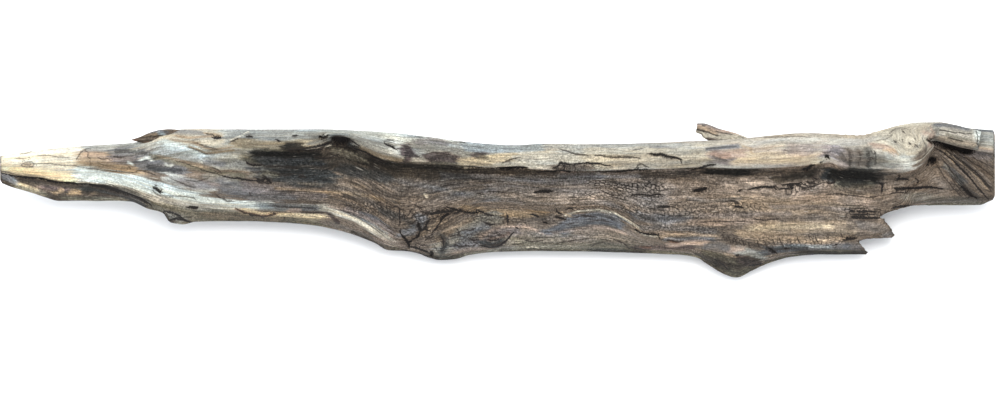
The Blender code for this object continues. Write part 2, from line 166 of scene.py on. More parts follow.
# The worn flats that the piece lies on: along, up, half length, half width, depth.
FEET = (
    (212, 8, 46, 22, 19),
    (724, -52, 44, 20, 13),
    (560, 34, 56, 20, 10),
)
TWIG = (
    (757, 52, -1, 3.2), (744, 59.5, -1, 4), (733, 62, -1, 5.5), (720, 63.6, 0, 7.2),
    (709, 67.4, 0, 7.6), (703, 71, 1, 6), (697, 72, 1, 5),
)
BRANCH = (
    (926, 64, 3, 7.5), (937, 67.8, 5, 9.0), (950, 65.7, 6.5, 10.0), (964, 62.4, 8, 10.2),
    (974, 60.4, 8, 10.0), (979, 59.6, 8, 9.0),
)
BREAK_OUTLINE = (
    (869, -90), (868, -53.5), (861, -46.5), (857, -41), (866, -38.5), (891, -37.5), (893, -35),
    (890, -28), (882, -19), (878, -17.5), (886, -12.5), (900, -8), (912, -5.5), (926, -4.8),
    (940, -7), (950, -90),
)

# Places on the face, in along and down: the knob with its half sizes, the bands that ring the
# ridge before it, and the corner and slant of the wedge at the right end.
KNOB_ALONG, KNOB_DOWN, KNOB_LENGTH, KNOB_HEIGHT = 910.0, 147.0, 17.0, 13.0
BANDS_FROM, BANDS_TO = 838, 880
WEDGE_ALONG, WEDGE_DOWN, WEDGE_SLANT = 938.0, 150.0, 0.45
# The levels between which the break's waste is drawn finely, in mm out of the face.
BREAK_LEVELS = (-62, 26, 1.8)

# How finely the surface is drawn: stations along the wood, and samples from each rail to the next.
STATION_COUNT = 474
SAMPLES = (14, 9, 9, 9, 9, 16, 20, 14, 26, 8, 6, 9, 12, 12, 12, 11)
FACE_SPANS = 11
# Rings that close each end of the log: share of the way to the middle, and how far out, in mm.
END_RINGS = ((0.06, 1.2), (0.13, 1.8), (0.3, 1.4), (0.5, 0.9), (0.7, 0.7), (0.88, 0.6), (0.97, 0.5))
END_SMOOTHINGS = 6
LIMB_END_RINGS = ((0.12, 0.5), (0.35, 0.3), (0.6, -0.6), (0.85, -1.0))
BLADE_SIDES = 26
# How many places are matched to the grid at a time.
BATCH = 8000
# A distance from a mark that counts as nowhere near it, in half widths.
FAR = 9.0
# About how wide each of those spans is, which sets how many grain lines run through it.
SPAN_WIDTHS = (19, 10, 10, 15, 14, 15, 20, 15, 34, 10, 7, 22, 36, 40, 38, 34)

# How much of the studio's light a screen white stands for.
SHARE_OF_WHITE = 0.63
# The studio: the floor, the sky's light, the lamp overhead and the camera, in metres and degrees.
FLOOR_TONE, FLOOR_REACH = (0.93, 0.93, 0.93, 1.0), 6.0
SKY_TONE, SKY_STRENGTH = (0.93, 0.96, 1.0, 1.0), 1.69
LAMP_TONE, LAMP_WIDTH, LAMP_POWER = (1.0, 0.98, 0.95), 2.2, 67.0
LAMP_PLACE, LAMP_TURN = (0.15, 0.45, 2.4), (-10.5, 3.5, 0.0)
VIEW_WIDTH, VIEW_DISTANCE = 1.0, 3.0
# What the camera looks at, in the face frame.
VIEW_MIDDLE = (500.0, -5.5, 0.0)
# The wood's tones as screen colours.
TONES = {
    "ivory": (0.99, 0.94, 0.84),
    "bleached": (0.87, 0.90, 0.87),
    "cream": (0.84, 0.81, 0.73),
    "butter": (0.87, 0.79, 0.64),
    "honey": (0.76, 0.64, 0.48),
    "ochre": (0.62, 0.52, 0.39),
    "tan": (0.66, 0.58, 0.48),
    "pink": (0.74, 0.65, 0.58),
    "fawn": (0.53, 0.48, 0.43),
    "timber": (0.46, 0.41, 0.36),
    "stone": (0.75, 0.72, 0.66),
    "brown": (0.42, 0.37, 0.32),
    "rust": (0.46, 0.33, 0.26),
    "plum": (0.33, 0.28, 0.27),
    "umber": (0.25, 0.22, 0.18),
    "soot": (0.13, 0.12, 0.10),
    "charcoal": (0.20, 0.21, 0.21),
    "slate": (0.42, 0.425, 0.435),
    "mauve": (0.51, 0.48, 0.475),
    "bluegrey": (0.60, 0.64, 0.65),
    "silver": (0.73, 0.74, 0.71),
    "grey": (0.57, 0.56, 0.52),
    "olive": (0.47, 0.45, 0.38),
}


# Curves and noise


def smooth_along(points, column, along):
    """A smooth curve through a rail's given points that never overshoots them."""
    table = np.array(points, float)
    x, y = table[:, 0], table[:, column]
    step = np.diff(x)
    rise = np.diff(y) / step
    slope = np.zeros_like(y)
    same_way = rise[:-1] * rise[1:] > 0
    weight_a, weight_b = 2 * step[1:] + step[:-1], step[1:] + 2 * step[:-1]
    with np.errstate(divide="ignore", invalid="ignore"):
        harmonic = (weight_a + weight_b) / (weight_a / rise[:-1] + weight_b / rise[1:])
    slope[1:-1] = np.where(same_way, harmonic, 0.0)
    slope[0], slope[-1] = rise[0], rise[-1]
    i = np.clip(np.searchsorted(x, along) - 1, 0, len(step) - 1)
    h = step[i]
    u = np.clip((along - x[i]) / h, 0.0, 1.0)
    return (
        (1 + 2 * u) * (1 - u) ** 2 * y[i]
        + u * (1 - u) ** 2 * h * slope[i]
        + u * u * (3 - 2 * u) * y[i + 1]
        + u * u * (u - 1) * h * slope[i + 1]
    )


def ease(low, high, value):
    """0 below low, 1 above high, and a smooth step between; low may be the larger."""
    share = np.clip((value - low) / (high - low), 0.0, 1.0)
    return share * share * (3 - 2 * share)


def noise(x, y, seed):
    """Smooth noise from -1 to 1: random heights on a unit lattice, eased between neighbours."""
    size = 251
    heights = np.random.default_rng(seed).uniform(-1.0, 1.0, (size, size))
    i, j = np.floor(x).astype(int), np.floor(y).astype(int)
    u, v = x - i, y - j
    u, v = u * u * (3 - 2 * u), v * v * (3 - 2 * v)
    i0, i1, j0, j1 = i % size, (i + 1) % size, j % size, (j + 1) % size
    near = heights[i0, j0] * (1 - u) + heights[i1, j0] * u
    far = heights[i0, j1] * (1 - u) + heights[i1, j1] * u
    return near * (1 - v) + far * v


def layered(x, y, seed, layers=3, gain=0.55):
    """Noise summed over layers, each twice as fine as the last and gain times as strong."""
    total, strength, reach = 0.0, 1.0, 0.0
    for layer in range(layers):
        total = total + strength * noise(x * 2**layer, y * 2**layer, seed + 17 * layer)
        reach += strength
        strength *= gain
    return total / reach


# The log's surface


def rail(points, along):
    """(up, out) of a rail at each station."""
    return np.stack([smooth_along(points, 1, along), smooth_along(points, 2, along)], axis=-1)


def section_points(along):
    """The rails that each section's loop runs through, from the top edge round to the back."""
    top, crest, face = rail(TOP_EDGE, along), rail(RIDGE_CREST, along), rail(RIDGE_FACE, along)
    low, lip, lip_low = rail(RIDGE_LOW, along), rail(LIP, along), rail(LIP_LOW, along)
    bottom = rail(BOTTOM_EDGE, along)
    floor, cut = smooth_along(FLOOR, 1, along), smooth_along(UNDERCUT, 1, along)

    def between(share, out):
        return np.stack([low[:, 0] + (lip[:, 0] - low[:, 0]) * share, out], axis=-1)

    under = np.stack([low[:, 0] + cut, (floor + low[:, 1]) / 2], axis=-1)
    hollow_top = between(FLOOR_SHARES[0], floor + FLOOR_FILLET)
    hollow_mid = between(FLOOR_SHARES[1], floor)
    hollow_low = between(FLOOR_SHARES[2], floor + (lip[:, 1] - floor) * LIP_RISE)
    under_lip = lip_low + (bottom - lip_low) * UNDER_LIP_SHARE
    under_lip[:, 1] -= UNDER_LIP_DROP
    loop = [top, crest, face, low, under, hollow_top, hollow_mid, hollow_low, lip, lip_low]
    loop += [under_lip, bottom]
    loop += [rail(points, along) for points in (BELLY_FRONT, BELLY, BACK_LOW, BACK)]
    return np.stack(loop, axis=1)


def closed_spline(points, counts):
    """Rounds each station's ring into a closed curve, with counts samples from rail to rail."""
    before, after = np.roll(points, 1, axis=1), np.roll(points, -1, axis=1)
    reach = np.maximum(np.linalg.norm(after - points, axis=2, keepdims=True), 1e-6) ** 0.5
    reach_before = np.roll(reach, 1, axis=1)
    tangent = (
        (points - before) / reach_before * reach + (after - points) / reach * reach_before
    ) / (reach + reach_before)
    tangent_after, reach_after = np.roll(tangent, -1, axis=1), np.roll(reach, -1, axis=1)
    leaving = tangent * np.minimum(1.0, reach / reach_before)
    arriving = tangent_after * np.minimum(1.0, reach / reach_after)
    samples = []
    for span, count in enumerate(counts):
        u = np.arange(count)[None, :, None] / count
        samples.append(
            (1 + 2 * u) * (1 - u) ** 2 * points[:, span, None]
            + u * (1 - u) ** 2 * leaving[:, span, None]
            + u * u * (3 - 2 * u) * after[:, span, None]
            + u * u * (u - 1) * arriving[:, span, None]
        )
    return np.concatenate(samples, axis=1)


def mound(along, up, form):
    """1 at the middle of an oval form, falling smoothly to nothing a little past its half sizes."""
    middle, height_up, half_along, half_up, turn = form[:5]
    c, s = math.cos(math.radians(turn)), math.sin(math.radians(turn))
    a, b = along - middle, up - height_up
    return np.exp(-(((a * c + b * s) / half_along) ** 2 + ((b * c - a * s) / half_up) ** 2))


def fade(turn, first, last):
    """0 outside the rails first to last, and 1 inside them past a short fade."""
    inside = np.minimum(turn - first, last - turn) - FADE_START
    return np.clip(inside / FADE_LENGTH, 0.0, 1.0)


def log_surface():
    """The plain log: (points, turn), a grid of stations by loop samples and each sample's rail."""
    along = np.linspace(0, LENGTH, STATION_COUNT)
    loops = closed_spline(section_points(along), SAMPLES)
    up, out = loops[..., 0], loops[..., 1]
    stations = np.repeat(along[:, None], up.shape[1], axis=1)
    turn = np.concatenate([k + np.arange(count) / count for k, count in enumerate(SAMPLES)])
    facing = fade(turn, 0, FACE_SPANS)
    behind = fade(turn, FACE_SPANS, len(SAMPLES))
    for form in SWELLINGS:
        out = out + facing * form[5] * mound(stations, up, form)
    for form in BACK_SWELLINGS:
        out = out - behind * form[5] * mound(stations, up, form)
    for middle, height_up, half_along, half_up, depth in FEET:
        out = out - behind * depth * mound(stations, up, (middle, height_up, half_along, half_up, 0))
    points = np.stack([stations, up, out], axis=-1)
    return points, np.repeat(turn[None], len(along), axis=0)


def outward(points):
    """Unit normals of a grid that closes across its loops: the cross of its two slopes."""
    along = np.gradient(points, axis=0)
    across = np.roll(points, -1, axis=1) - np.roll(points, 1, axis=1)
    normal = np.cross(along, across)
    normal /= np.maximum(np.linalg.norm(normal, axis=2, keepdims=True), 1e-9)
    spread = points - points.mean(axis=1, keepdims=True)
    return normal * np.sign((normal * spread).sum(axis=2).mean())


# Marks on the wood


def in_pairs(run):
    """A run of numbers cut into (along, down) places."""
    return tuple(zip(run[::2], run[1::2]))


def with_places(lead, table):
    """The rows of a table, with the numbers after the first few cut into places."""
    return tuple(row[:lead] + (in_pairs(row[lead:]),) for row in table)


def by_size(lead, table):
    """A row for each run of numbers in a table: the first few values of its row, then its places."""
    return tuple(row[:lead] + (in_pairs(run),) for row in table for run in row[lead:])


# Painted strokes, laid over one another in turn: tone, strength, half width, then its line's places.
PATCHES = with_places(3, (
    # the tapered tip
    ("ivory", 0.95, 13, -5, 162, 30, 160, 66, 158),
    ("cream", 0.8, 8, 50, 156, 75, 153, 84, 168),
    ("cream", 0.9, 7, 50, 176, 90, 181, 112, 185),
    ("tan", 0.5, 2.2, 24, 165, 31, 165),
    ("butter", 0.8, 5, 2, 169, 25, 172, 50, 176, 70, 179),
    ("honey", 0.4, 2.6, 12, 170, 35, 173, 58, 177),
    ("tan", 0.9, 8, 86, 157, 104, 160, 120, 165, 136, 169),
    ("pink", 0.5, 4, 84, 154, 98, 153, 108, 160),
    ("ochre", 0.45, 3.5, 78, 165, 100, 166, 122, 169, 136, 171),
    ("silver", 0.8, 3.5, 86, 147, 110, 146, 140, 144, 165, 143),
    ("slate", 0.7, 5, 116, 152, 132, 152, 150, 155, 168, 157),
    ("mauve", 0.7, 3.5, 112, 158, 124, 160, 134, 160),
    ("silver", 0.7, 1.6, 132, 150, 138, 151),
    ("slate", 0.85, 5.5, 138, 163, 155, 165, 170, 168, 182, 170),
    ("charcoal", 0.4, 2.6, 148, 168, 160, 171, 172, 172),
    ("bleached", 0.8, 1.3, 140, 160, 147, 157, 152, 160),
    ("bleached", 0.8, 1.2, 128, 162, 132, 164),
    ("bleached", 0.7, 1, 165, 164, 168, 166, 172, 165),
    # the bright band along the lower lip's crest: pale wood, with a painted highlight where the crest
    # faces up
    ("bleached", 1, 6.5, 80, 173, 110, 178, 140, 184, 165, 190, 195, 198),
    ("bleached", 0.9, 4, 185, 196, 215, 202, 245, 205.5, 268, 205),
    ("cream", 0.65, 4.5, 110, 187, 150, 198, 180, 204, 215, 208, 240, 209),
    # under the tip's edge: its darker underside, with painted shade under the overhang in the umber
    # and charcoal strokes
    ("umber", 0.95, 7, 0, 178, 30, 184, 60, 190, 100, 192, 130, 198, 150, 207),
    ("brown", 0.85, 5, 36, 191, 60, 197, 100, 199, 122, 199),
    ("olive", 0.8, 3.5, 16, 186, 30, 191, 44, 196),
    ("charcoal", 0.75, 3.5, 80, 187, 104, 189.5, 126, 195, 142, 203),
    ("olive", 0.7, 2.2, 64, 198.5, 90, 199, 120, 200.5),
    ("butter", 0.5, 1.6, 18, 184, 28, 187, 36, 190),
    ("olive", 0.6, 2.2, 60, 198, 100, 200, 125, 201),
    ("plum", 0.7, 2, 42, 187, 58, 189, 68, 190),
    ("honey", 0.6, 2.4, 56, 193, 60, 191),
    ("honey", 0.7, 2.2, 70, 193, 79, 192),
    ("tan", 0.5, 1.2, 90, 195, 96, 192),
    ("umber", 0.5, 2, 48, 199, 56, 200, 66, 201),
    ("slate", 0.8, 4, 0, 176, 8, 178, 14, 181),
    ("grey", 0.6, 2.6, 120, 190, 134, 194, 146, 200),
    # the upper left shoulder
    ("cream", 0.8, 16, 170, 140, 200, 142, 240, 144),
    ("silver", 0.85, 7, 160, 150, 190, 158, 215, 160, 240, 164),
    ("bleached", 0.95, 4.5, 166, 143, 180, 147, 194, 151, 204, 156),
    ("grey", 0.75, 5, 206, 161, 222, 164, 244, 166, 252, 172),
    ("slate", 0.55, 2, 168, 131, 186, 131.5, 202, 133),
    ("tan", 0.85, 1.1, 176, 136, 190, 138, 212, 136, 230, 139),
    ("ochre", 0.75, 0.9, 188, 146, 199, 150, 206, 153.5, 220, 152, 234, 150),
    ("tan", 0.75, 1, 192, 142, 204, 147, 214, 150, 232, 147),
    ("ochre", 0.6, 0.8, 204, 133, 214, 134, 226, 138, 234, 142),
    ("tan", 0.6, 1, 170, 139, 186, 142, 200, 143),
    ("silver", 0.8, 5, 168, 178, 190, 184, 205, 190),
    ("olive", 0.8, 2.8, 152, 156, 168, 160, 184, 164, 202, 168, 222, 174, 244, 179),
    ("tan", 0.6, 1.4, 158, 156, 176, 160, 192, 164, 206, 168),
    ("brown", 0.7, 1.2, 180, 161, 198, 164, 212, 168, 220, 172),
    ("slate", 0.75, 2.2, 204, 162, 214, 163, 222, 164),
    ("mauve", 0.6, 3.5, 182, 181, 196, 186, 212, 184, 228, 179),
    ("grey", 0.6, 3.5, 206, 176, 222, 180, 238, 183),
    ("slate", 0.7, 6, 220, 188, 240, 191, 262, 195, 290, 199),
    ("mauve", 0.6, 4.5, 246, 187, 280, 190, 320, 195),
    ("brown", 0.7, 3, 286, 202, 300, 203, 318, 204),
    # the hollow
    # painted shade from the ridge's overhang, over the wood's own dark grey: the charcoal, near-black
    # and umber strokes just under the ridge
    ("charcoal", 0.95, 12, 262, 162, 290, 165, 318, 167),
    ("soot", 0.75, 4, 256, 153, 290, 154, 330, 156),
    ("slate", 0.4, 1.4, 262, 158, 290, 160, 312, 158),
    ("grey", 0.35, 1.2, 268, 176, 290, 178, 312, 176),
    ("brown", 0.5, 1.6, 300, 166, 322, 168, 344, 165),
    ("olive", 0.35, 1.2, 310, 161, 330, 159, 344, 158),
    ("charcoal", 0.75, 6, 278, 176, 300, 179, 326, 180),
    ("slate", 0.5, 3.5, 250, 168, 260, 173, 274, 172),
    ("olive", 0.5, 3.5, 242, 156, 250, 159, 256, 164),
    ("grey", 0.4, 1.6, 246, 165, 262, 167, 280, 168),
    ("olive", 0.55, 2.6, 262, 174, 268, 172, 276, 175),
    ("umber", 0.8, 8, 330, 158, 352, 160, 380, 168, 420, 172, 460, 172),
    ("charcoal", 0.7, 5, 340, 170, 366, 174, 384, 178),
    ("charcoal", 0.6, 4, 306, 172, 322, 180, 336, 178),
    ("umber", 0.5, 3, 350, 156, 400, 167, 470, 170, 540, 173),
    ("slate", 0.45, 3, 440, 176, 500, 178, 560, 178, 600, 176),
    ("ochre", 0.55, 1.4, 276, 188, 310, 191, 350, 193, 400, 203),
    ("tan", 0.35, 1.2, 300, 183, 330, 185, 364, 186),
    ("grey", 0.35, 1.4, 420, 184, 460, 192, 500, 198),
    ("slate", 0.4, 2, 380, 178, 420, 186, 470, 196, 500, 200),
    ("slate", 0.4, 2, 560, 177, 590, 178, 640, 176),
    ("ochre", 0.6, 3, 448, 207, 470, 209, 505, 213, 545, 214),
    ("honey", 0.4, 1.4, 476, 213, 500, 215, 530, 217),
    ("slate", 0.7, 4.5, 636, 216, 650, 218, 668, 219, 686, 216),
    ("slate", 0.4, 2.5, 640, 228, 690, 228, 716, 232),
    ("fawn", 0.7, 9, 650, 204, 720, 208, 800, 204),
    ("tan", 0.5, 8, 740, 204, 800, 206, 860, 200),
    ("pink", 0.5, 2.4, 690, 222, 720, 223, 756, 221),
    ("mauve", 0.4, 2, 700, 216, 740, 214, 790, 213),
    ("slate", 0.28, 12, 500, 190, 560, 192, 660, 194),
    ("slate", 0.22, 8, 400, 186, 450, 191, 490, 194),
    ("pink", 0.35, 5, 800, 195, 840, 198, 870, 203),
    ("mauve", 0.4, 1.8, 770, 206, 810, 207, 850, 210),
    ("slate", 0.4, 1.6, 690, 199, 710, 201, 740, 199),
    ("tan", 0.9, 5.5, 744, 231, 780, 228, 815, 226, 850, 227),
    ("butter", 0.45, 2.2, 750, 229, 790, 226, 830, 226),
    ("fawn", 0.5, 5, 850, 224, 875, 228, 890, 234),
    ("slate", 0.35, 4, 860, 224, 880, 230, 888, 234),
    ("tan", 0.55, 3.5, 756, 239, 790, 239, 820, 240, 850, 236),
    # painted shade under the ridge's lower edge: the darkest strokes from here to 525, over the
    # darker wood of the scars between 780 and 880 along
    ("umber", 0.85, 5, 782, 179, 796, 175, 812, 173),
    ("charcoal", 1, 6.5, 830, 175, 850, 179, 872, 178, 882, 175),
    ("soot", 1, 5.5, 838, 174, 856, 174, 876, 177),
    ("soot", 0.9, 2.8, 706, 171.5, 735, 172.5, 756, 172),
    ("brown", 0.9, 3, 752, 173, 770, 172.5, 786, 173),
    ("soot", 0.8, 2, 845, 170, 880, 171),
    ("olive", 0.5, 3, 838, 184, 858, 187, 872, 184),
    ("brown", 0.7, 5, 885, 174, 905, 176, 925, 176),
    # the ridge
    # the ridge's pale upper side: bleached wood, painted paler still and bluish along the top as sky
    # light where it faces up
    ("silver", 0.9, 10, 232, 134, 300, 132, 345, 134, 400, 140, 450, 147, 490, 149),
    ("bleached", 0.5, 4, 300, 131, 345, 132, 400, 137, 450, 142),
    ("butter", 0.75, 4.2, 236, 143, 262, 145, 286, 146, 304, 144, 322, 142),
    ("olive", 0.4, 1.6, 244, 148, 262, 149.5, 284, 150),
    ("umber", 0.95, 3.6, 285, 147, 293, 147, 302, 148),
    ("grey", 0.7, 5, 312, 140, 326, 141, 340, 145),
    ("cream", 0.5, 6, 352, 140, 376, 148, 400, 152),
    ("honey", 0.6, 2, 360, 147.5, 372, 153, 386, 158.5, 403, 162),
    ("umber", 0.9, 5, 330, 146, 340, 147, 352, 151),
    ("brown", 0.6, 2, 322, 150, 334, 151, 342, 154),
    ("charcoal", 0.9, 2.6, 333, 137.5, 342, 139, 350, 142),
    ("olive", 0.5, 4, 336, 151, 350, 156, 366, 159),
    ("grey", 0.85, 8, 412, 150, 440, 154, 466, 158),
    ("mauve", 0.6, 3, 418, 142, 432, 140, 446, 143),
    ("plum", 0.95, 3.4, 405, 147, 410, 153, 406, 161),
    ("plum", 0.7, 1.5, 411, 154, 418, 156),
    ("plum", 0.8, 4.5, 430, 158, 442, 157, 456, 159),
    ("olive", 0.5, 2, 430, 163, 444, 164, 458, 165),
    ("plum", 0.8, 2.6, 474, 155, 484, 155),
    ("cream", 0.9, 8, 500, 159, 540, 158, 600, 160),
    ("butter", 0.7, 4.5, 462, 164, 482, 161, 504, 157, 512, 156),
    # painted bluish sky light along the ridge's top
    ("bluegrey", 0.85, 4, 466, 147, 500, 148, 540, 146),
    ("bluegrey", 0.35, 2.6, 540, 146, 600, 146, 680, 145),
    ("silver", 0.5, 4, 560, 150, 620, 150, 690, 148),
    ("fawn", 0.85, 2.6, 554, 168, 575, 166.5, 592, 166),
    ("brown", 0.6, 1.8, 560, 169, 590, 169),
    ("slate", 0.5, 1.2, 650, 147, 664, 147, 676, 149),
    ("cream", 0.5, 10, 700, 154, 760, 154, 830, 150),
    ("pink", 0.45, 9, 730, 154, 770, 156, 800, 160),
    ("butter", 0.5, 5, 740, 158, 775, 158, 800, 160, 816, 160),
    ("mauve", 0.8, 5, 712, 154, 720, 158, 730, 160),
    ("pink", 0.9, 3.6, 710, 152, 724, 154.5, 742, 153),
    ("rust", 0.35, 2, 712, 153, 722, 156, 730, 155),
    ("slate", 0.75, 1.8, 706, 149, 722, 147, 738, 146),
    ("honey", 0.5, 1, 742, 146, 750, 148, 752, 153),
    ("mauve", 0.55, 5, 790, 148, 802, 149, 810, 151),
    ("mauve", 0.9, 6, 829, 151, 838, 154, 844, 159),
    ("fawn", 0.85, 7, 848, 158, 864, 158),
    ("pink", 0.5, 3, 828, 164, 846, 166),
    # the bands before the knob: their dark lines are painted shade in the furrows between the rings
    ("brown", 0.55, 1.9, 848, 150, 850, 158, 849, 166),
    ("brown", 0.5, 1.7, 858, 150, 859, 158, 858, 166),
    ("charcoal", 0.45, 3, 868, 150, 871, 158, 869, 166),
    ("grey", 0.8, 5, 866, 156, 880, 159, 890, 163),
    ("cream", 0.8, 16, 896, 144, 912, 148),
    ("silver", 0.6, 7, 890, 160, 906, 163),
    ("butter", 0.35, 9, 590, 157, 640, 158, 700, 158),
    ("pink", 0.35, 7, 795, 150, 815, 152, 822, 148),
    ("pink", 0.8, 2.2, 872, 145, 884, 147, 894, 152),
    ("honey", 0.5, 1.2, 884, 150, 894, 151, 898, 155),
    ("pink", 0.85, 3.5, 924, 130, 930, 136, 933, 144),
    ("cream", 0.8, 6, 880, 136, 900, 128, 930, 126),
    # the right end
    ("silver", 0.9, 9, 970, 132, 995, 137),
    ("slate", 0.7, 1.2, 968, 130, 980, 130, 995, 132),
    ("pink", 0.5, 1.6, 972, 146, 984, 149, 995, 151),
    ("mauve", 0.6, 5, 966, 154, 990, 156),
    ("brown", 0.95, 18, 932, 170, 960, 176, 992, 182),
    ("fawn", 0.6, 4, 930, 176, 938, 184, 948, 196),
    ("fawn", 0.55, 3, 948, 158, 968, 174, 984, 192),
    ("slate", 0.7, 3, 946, 164, 955, 176, 962, 182),
    ("charcoal", 0.6, 2, 958, 176, 966, 186, 976, 198),
    ("grey", 0.5, 4, 905, 197, 940, 199, 975, 202),
    # the lower lip
    ("olive", 0.8, 5, 150, 206, 178, 212, 205, 214, 240, 217, 300, 222, 340, 226),
    ("tan", 0.5, 3, 205, 214, 240, 216, 280, 220),
    ("grey", 0.8, 2.5, 172, 215, 184, 219),
    ("grey", 0.8, 4, 170, 216, 180, 219),
    ("butter", 0.85, 2.6, 244, 211, 262, 214, 292, 215, 336, 217),
    ("rust", 0.6, 1.1, 236, 209, 244, 212, 262, 216, 276, 214),
    ("brown", 0.7, 0.9, 262, 211, 285, 212, 310, 212, 326, 212.5),
    # a painted bluish highlight along the lip's crest, over pale wood
    ("bluegrey", 0.6, 3, 262, 207, 285, 208, 305, 207, 324, 208),
    ("slate", 0.6, 1.2, 300, 210, 312, 208, 322, 209),
    ("pink", 0.85, 1.8, 290, 210, 300, 210),
    ("fawn", 0.85, 8, 330, 222, 350, 228, 372, 238, 392, 247),
    # the lip crest's bright line: pale wood with a painted highlight
    ("cream", 0.9, 3, 322, 207, 340, 213, 358, 220, 376, 232, 396, 246),
    ("pink", 0.6, 2.6, 376, 238, 390, 243, 402, 246),
    ("mauve", 0.8, 2.8, 346, 209, 364, 216, 384, 227, 398, 236),
    ("bluegrey", 0.6, 1, 362, 219, 376, 226, 388, 234),
    ("slate", 0.7, 1.3, 360, 212, 376, 218, 392, 227),
    ("pink", 0.4, 1.2, 330, 207, 344, 209, 356, 213),
    ("umber", 0.8, 1.4, 352, 231, 368, 239, 384, 247),
    ("plum", 0.8, 1.6, 328, 213, 334, 219, 338, 222),
    ("brown", 0.95, 13, 392, 214, 410, 226, 430, 222, 446, 214),
    ("slate", 0.75, 4, 402, 234, 412, 232, 420, 218),
    ("charcoal", 0.5, 3, 380, 212, 400, 216, 412, 226),
    ("tan", 0.5, 4, 424, 234, 434, 226, 440, 220),
    ("fawn", 0.7, 3.5, 424, 244, 430, 238, 436, 232),
    ("grey", 0.8, 6, 438, 252, 454, 240, 470, 228, 492, 217),
    ("tan", 0.5, 2.2, 436, 240, 452, 228, 470, 220),
    ("slate", 0.8, 3.6, 462, 236, 474, 230, 484, 226),
    ("charcoal", 0.7, 2.2, 441, 236, 447, 244, 441, 252),
    ("slate", 0.7, 3.5, 456, 246, 466, 243, 476, 242),
    ("pink", 0.3, 2.5, 452, 252, 468, 250, 480, 249),
    ("grey", 0.6, 9, 500, 246, 560, 242, 620, 244),
    ("olive", 0.6, 6, 520, 242, 560, 245, 600, 242, 640, 246),
    ("fawn", 0.5, 3, 520, 236, 548, 240, 580, 238),
    ("mauve", 0.8, 4.5, 486, 236, 500, 232, 514, 229),
    ("charcoal", 0.9, 2.8, 482, 243.5, 493, 245.5, 502, 242),
    ("rust", 0.4, 1.6, 490, 239, 500, 237, 508, 233),
    ("pink", 0.75, 1.4, 480, 238, 490, 230, 505, 226, 528, 227, 548, 235),
    ("slate", 0.95, 6.5, 560, 229, 580, 222, 602, 219, 618, 222),
    ("charcoal", 0.4, 2.5, 564, 228, 580, 225, 600, 224, 616, 226),
    ("slate", 0.8, 2.6, 545, 232, 560, 230, 572, 228),
    ("fawn", 0.7, 6, 572, 238, 600, 234, 628, 238, 660, 244),
    ("pink", 0.6, 1.3, 552, 233, 570, 230, 590, 226.5, 606, 226.5, 626, 234),
    ("fawn", 0.7, 4, 640, 238, 680, 238, 720, 240),
    ("slate", 0.8, 1.8, 664, 239.5, 690, 238, 714, 239.5),
    ("tan", 0.5, 1.5, 656, 237, 670, 235.5, 696, 234.5, 718, 235.5),
    ("plum", 0.7, 2, 636, 248, 660, 247.5, 692, 247),
    ("pink", 0.9, 2.2, 668, 245, 684, 243, 706, 242.5),
    ("slate", 0.6, 2.4, 706, 246, 718, 245, 728, 248),
    ("rust", 0.8, 1, 670, 241, 677, 242.5),
    ("rust", 0.7, 1, 641, 247, 650, 248),
    ("tan", 0.7, 1.4, 724, 253.5, 736, 256, 746, 259),
    ("rust", 0.5, 2, 742, 258, 756, 261),
    ("umber", 0.9, 8, 706, 258, 722, 264, 740, 266, 756, 260),
    # painted shade under the ridge's lower edge
    ("umber", 0.7, 2.2, 405, 163.5, 430, 166, 462, 168),
    # painted shade along the bottom edges, here and in the next stroke
    ("umber", 0.8, 2, 404, 252, 420, 256, 436, 259),
    ("umber", 0.7, 1.6, 810, 253.5, 840, 254, 866, 253.5),
    ("plum", 0.6, 4, 740, 258, 752, 264),
    ("olive", 0.7, 3.5, 726, 270, 738, 274, 752, 268),
    ("olive", 0.6, 2.2, 704, 253, 720, 256, 734, 262),
    ("silver", 0.75, 3.2, 738, 250, 748, 252, 762, 256),
    ("pink", 0.8, 2.4, 732, 250, 742, 249),
    ("charcoal", 0.8, 3.5, 764, 251, 780, 249, 800, 248),
    ("slate", 0.7, 3.5, 764, 250, 790, 248, 820, 248, 846, 248),
    ("bluegrey", 0.6, 1.2, 776, 247, 800, 246, 830, 247),
    # painted shade along the bottom edge
    ("umber", 0.8, 2.4, 800, 253, 830, 253.5, 868, 253),
    ("olive", 0.5, 1.2, 790, 256, 830, 250.5, 850, 250.5),
    ("slate", 0.5, 3, 846, 246, 860, 249),
))
